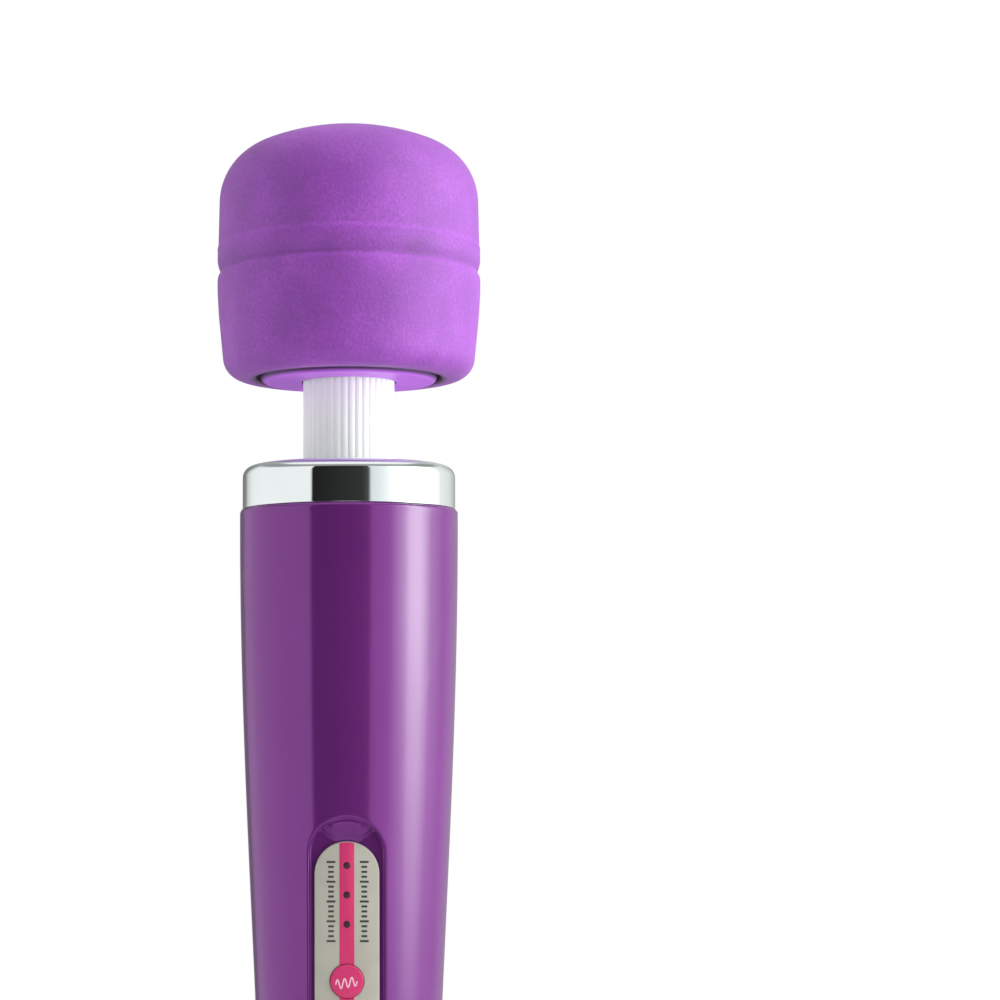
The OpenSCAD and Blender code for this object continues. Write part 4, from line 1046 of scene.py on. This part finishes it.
W, H = 1000, 1000
POINTS = {                                  # piece, what is measured, x, y
    "object_left": ("head_skin", "left", 216.5, None),
    "object_right": ("head_skin", "right", 479.5, None),
    "object_top": ("head_skin", "top", None, 123.7),
    "plug_left": ("base_skin", "left", 259, None),
    "plug_right": ("base_skin", "right", 440, None),
    "neck_left": ("neck_upper", "left", 302.5, None),
    "neck_right": ("neck_upper", "right", 394.5, None),
    "ring_left": ("collar_skin", "left", 242.5, None),
    "ring_right": ("collar_skin", "right", 455, None),
    "ring_top": ("collar_skin", "top", None, 458.5),
    "body_left": ("front_skin", "left", 240, None),
    "body_right": ("front_skin", "right", 457.5, None),
    "body_top": ("front_skin", "top", None, 500),
    "panel_top": ("panel_plate", "top", None, 842),
    "lens_first": ("indicator_lens_1", "middle", 346.9, 866.3),
    "lens_last": ("indicator_lens_3", "middle", 346.9, 925.6),
    "mode_key": ("mode_key", "middle", 346.2, 982.4),
    "wave_sign": ("wave_sign", "middle", 346.4, 983),
    "ticks_left": ("ticks_left", "middle", 331, 901.5),
    "ticks_right": ("ticks_right", "middle", 364.3, 901.5),
}
ENDS = {"left": (0, min), "right": (0, max), "top": (1, min)}
CLEAR = 1.0 * MM                            # a vertex this near the first surface shows


def search_tree(objects):
    """Search tree of finished pieces, as placed."""
    points, faces = [], []
    for obj in objects:
        base = len(points)
        points += [obj.matrix_world @ v.co for v in obj.data.vertices]
        faces += [[base + i for i in p.vertices] for p in obj.data.polygons]
    return BVHTree.FromPolygons(points, faces)


def lens_length(cam):
    return max(W, H) * cam.data.lens / cam.data.sensor_width


def carried_at(name, cam, carrier):
    """Where an image point's ray meets its carrier, in millimetres; a miss takes the nearest."""
    x, y = POINTS[name][2:]
    side = max(W, H)
    ray = Vector((x - W / 2 + cam.data.shift_x * side, H / 2 - y + cam.data.shift_y * side,
                  -lens_length(cam)))
    eye = cam.matrix_world.translation
    way = (cam.matrix_world.to_3x3() @ ray).normalized()
    tree = search_tree([carrier])
    hit = tree.ray_cast(eye, way)[0]
    if hit is None:
        spot = carrier.matrix_world @ (sum((v.co for v in carrier.data.vertices), Vector())
                                       / len(carrier.data.vertices))
        hit = tree.find_nearest(eye + way * (spot - eye).dot(way))[0]
    return hit / MM


def in_image(at, cam):
    """Image place of a point in the world."""
    x, y, z = cam.matrix_world.inverted() @ at
    side = max(W, H)
    return (W / 2 - cam.data.shift_x * side - x / z * lens_length(cam),
            H / 2 + cam.data.shift_y * side + y / z * lens_length(cam))


def seen(obj, cam, tree):
    """Image places of the vertices of a piece that show."""
    eye = cam.matrix_world.translation
    out = []
    for vertex in obj.data.vertices:
        at = obj.matrix_world @ vertex.co
        way = at - eye
        x, y = in_image(at, cam)
        if 0 <= x <= W and 0 <= y <= H and tree.ray_cast(eye, way, way.length - CLEAR)[0] is None:
            out.append((x, y))
    return out


def measured(name, cam, tree):
    """How far a thing shows from its point, in x and y."""
    piece, kind, x, y = POINTS[name]
    spots = seen(bpy.data.objects[piece], cam, tree)
    if not spots:
        return None
    if kind in ENDS:
        axis, pick = ENDS[kind]
        value = pick(s[axis] for s in spots) - (x, y)[axis]
        return {"dx": round(value, 1)} if axis == 0 else {"dy": round(value, 1)}
    middle = [(min(s[k] for s in spots) + max(s[k] for s in spots)) / 2 for k in (0, 1)]
    return {"dx": round(middle[0] - x, 1), "dy": round(middle[1] - y, 1)}


def write_points(cam):
    """Writes how far each thing shows from its image point; never stops the script."""
    result = {}
    try:
        bpy.context.view_layer.update()
        tree = search_tree([o for o in bpy.context.scene.objects
                            if o.type == "MESH" and not o.hide_render and o.name != "floor"])
        for name in POINTS:
            result[name] = measured(name, cam, tree)
    except Exception as problem:
        result["problem"] = str(problem)
    with open("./points.json", "w") as out:
        json.dump(result, out, indent=1)


# ---- light, floor and camera ----------------------------------------------------------------

def studio_world():
    """Soft studio all round: a large panel left, a dark gap in front, a bright strip right."""
    world = bpy.data.worlds.new("studio")
    bpy.context.scene.world = world
    world.use_nodes = True
    tree = world.node_tree
    tree.nodes.clear()
    out = tree.nodes.new("ShaderNodeOutputWorld")
    way = coordinates(tree, "Generated")[1]
    # angle from the front, 0 at -Y and growing to the right, as 0..1
    turn = math_node(tree, "ARCTAN2", way["X"], math_node(tree, "MULTIPLY", way["Y"], -1))
    unit = mapped(tree, turn, -math.pi, math.pi)
    gloss = by_angle(tree, unit, BELOW)
    # by height, the Z of the ray's direction: what takes over between two heights
    for low, high, above in ((-0.27, 0.0, by_angle(tree, unit, STUDIO)),
                             (0.5, 0.58, UPPER), (0.74, 0.80, CEILING)):
        gloss = blended(tree, mapped(tree, way["Z"], low, high), gloss, above)
    rays = tree.nodes.new("ShaderNodeLightPath").outputs
    light = blended(tree, rays["Is Glossy Ray"], by_angle(tree, unit, WASH), gloss)
    lit = add(tree, "ShaderNodeBackground", Strength=PEAK)
    tree.links.new(light, lit.inputs["Color"])
    white = add(tree, "ShaderNodeBackground", Strength=1.0, Color=(1, 1, 1, 1))
    mixed(tree, rays["Is Camera Ray"], lit, white, out)


def by_angle(tree, unit, stops):
    """Light level by the angle from the front."""
    return ramp(tree, unit, [((angle + TURN + 180) / 360, tuple(v / PEAK for v in colour))
                             for angle, colour in stops])


def blended(tree, factor, first, second):
    """Goes from the first colour to the second, which may be a plain one."""
    node = tree.nodes.new("ShaderNodeMix")
    node.data_type = "RGBA"
    tree.links.new(factor, node.inputs["Factor"])
    tree.links.new(first, node.inputs["A"])
    if isinstance(second, tuple):
        node.inputs["B"].default_value = (*(v / PEAK for v in second), 1)
    else:
        tree.links.new(second, node.inputs["B"])
    return node.outputs["Result"]


PEAK, TURN = 10.0, 1.2                     # brightest level; the view's angle from the front
CEILING, UPPER = grey(0.9), grey(0.3)
# what gloss sees: (angle, level), 0 at the camera and growing to the right
STUDIO = [(-180, grey(0.2)), (-150, grey(0.22)), (-140, grey(0.62)), (-128, grey(0.84)),
          (-110, grey(0.87)), (-41, grey(0.87)),
          (-39.5, grey(0.013)), (14, grey(0.033)), (21, grey(0.07)), (24, (0.72, 0.74, 0.75)),
          (33, (0.82, 0.84, 0.84)), (44, (0.98, 1.02, 1.02)), (60, (2.5, 4.9, 2.3)),
          (68, (4.4, 9.6, 3.9)), (80, (4.4, 9.6, 3.9)), (96, (1.7, 2.7, 1.6)),
          (116, grey(0.86)), (136, grey(0.76)), (165, grey(0.4)), (179, grey(0.2))]
# the same below the bright strip, which ends softly a little under the handle's middle
BELOW = [stop for stop in STUDIO if stop[0] < 50]
BELOW += [(60, grey(0.9)), (97, grey(0.9))] + [stop for stop in STUDIO if stop[0] > 100]
# what lights the matt surfaces
WASH = [(-180, grey(0.4)), (-148, grey(0.5)), (-141, grey(1.3)), (-100, grey(1.28)),
        (-60, grey(1.1)), (-41, grey(1.05)), (-30, grey(0.18)), (0, grey(0.26)), (20, grey(0.8)),
        (46, grey(1.4)), (60, grey(3.0)), (69, grey(6.2)), (83, grey(6.2)), (98, grey(2.6)),
        (116, grey(1.0)), (136, grey(0.85)), (165, grey(0.7)), (178, grey(0.4))]


def floor():
    """Round pale floor that fades into the white background; ranges are in metres."""
    rings, n = (0, 0.05, 0.1, 0.15, 0.2, 0.25, 0.3, 0.36, 0.42), 96
    points = [(x, y, -0.0002) for r in rings for x, y in circle(0, 0, r, n)]
    mat, tree, shader = new_material("floor", 0.8, Base_Color=(0.9, 0.9, 0.9, 1))
    place, at = coordinates(tree, "Object")
    away = from_axis(tree, place)
    fade = mapped(tree, away, 0.06, 0.36, 0.25, 1.0)
    # what gloss sees of it: dimmer near the foot, and out to the sides in front
    far = mapped(tree, away, 0.16, 0.42, 0.42, 0.9)
    beside = mapped(tree, math_node(tree, "ABSOLUTE", at["X"]), 0.045, 0.12, 1.0, 0.15)
    behind = mapped(tree, at["Y"], -0.14, -0.05)
    strip = math_node(tree, "MULTIPLY", far, math_node(tree, "MAXIMUM", beside, behind))
    rays = tree.nodes.new("ShaderNodeLightPath").outputs
    shown = math_node(tree, "MULTIPLY", fade, rays["Is Camera Ray"])
    glow = add(tree, "ShaderNodeEmission", Color=(1, 1, 1, 1))
    tree.links.new(math_node(tree, "MAXIMUM", strip, rays["Is Camera Ray"]),
                   glow.inputs["Strength"])
    mixed(tree, math_node(tree, "MAXIMUM", shown, rays["Is Glossy Ray"]), shader, glow,
          tree.nodes["Material Output"])
    obj = make_object("floor", points, grid_faces(len(rings), n), mat, scale=1)
    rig.stage(obj)


CAMERA_BACK, CAMERA_Z, AIM_Z, LENS, SENSOR = 0.5, 0.1855, 0.2148, 79.8, 36
SHIFT_X, SHIFT_Y = 0.1511, 0.0463


def camera():
    """Camera of the photograph's view, aimed first and shifted after."""
    data = bpy.data.cameras.new("camera")
    data.lens, data.sensor_width, data.sensor_fit = LENS, SENSOR, "AUTO"
    data.shift_x, data.shift_y = SHIFT_X, SHIFT_Y
    data.clip_start, data.clip_end = 0.01, 20
    obj = bpy.data.objects.new("camera", data)
    bpy.context.collection.objects.link(obj)
    turn = math.radians(TURN)
    obj.location = (CAMERA_BACK * math.sin(turn), -CAMERA_BACK * math.cos(turn), CAMERA_Z)
    obj.rotation_mode = "QUATERNION"
    obj.rotation_quaternion = (Vector((0, 0, AIM_Z)) - obj.location).to_track_quat("-Z", "Y")
    bpy.context.scene.camera = obj
    return obj


# ---- build ----------------------------------------------------------------------------------

bpy.context.scene.view_settings.view_transform = "Standard"
cam = camera()
bpy.context.view_layer.update()
studio_world()
floor()
dress_frame()

for skin in (front_skin(), rear_skin()):
    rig.ride(skin, "handle")
    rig.slot(skin, "body_plastic")
screw_wells()
end_cap_skin()
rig.ride(collar(), "handle")
neck_half("neck_lower", RING_TOP - 3, NECK_MID, "handle", "neck", BEND_LOW, NECK_MID)
neck_half("neck_upper", NECK_MID, PLUG_Z + 3, "neck", "head", NECK_MID, BEND_HIGH)
bent_copy("neck_spring", "spring", "spring_steel", 0)
bent_copy("motor_leads_upper", "leads", "lead_black", 24)
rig.ride(head_cover(), "head")
base_plug()
plate = panel_plate()
stripe()
mode_key = turned_button("mode_key", "mode_button", BUTTON_Y[0], PINK)
turned_button("power_key", "power_button", BUTTON_Y[1], PINK)
wave_sign(carried_at("wave_sign", cam, mode_key))
power_sign()
for row in ("ticks_left", "ticks_right"):
    panel_ticks(row, carried_at(row, cam, plate))
write_points(cam)

lo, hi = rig.bounds()
with open("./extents.json", "w") as out:
    json.dump({"cad": [list(cad_lo), list(cad_hi)], "visual": [list(lo), list(hi)]}, out)
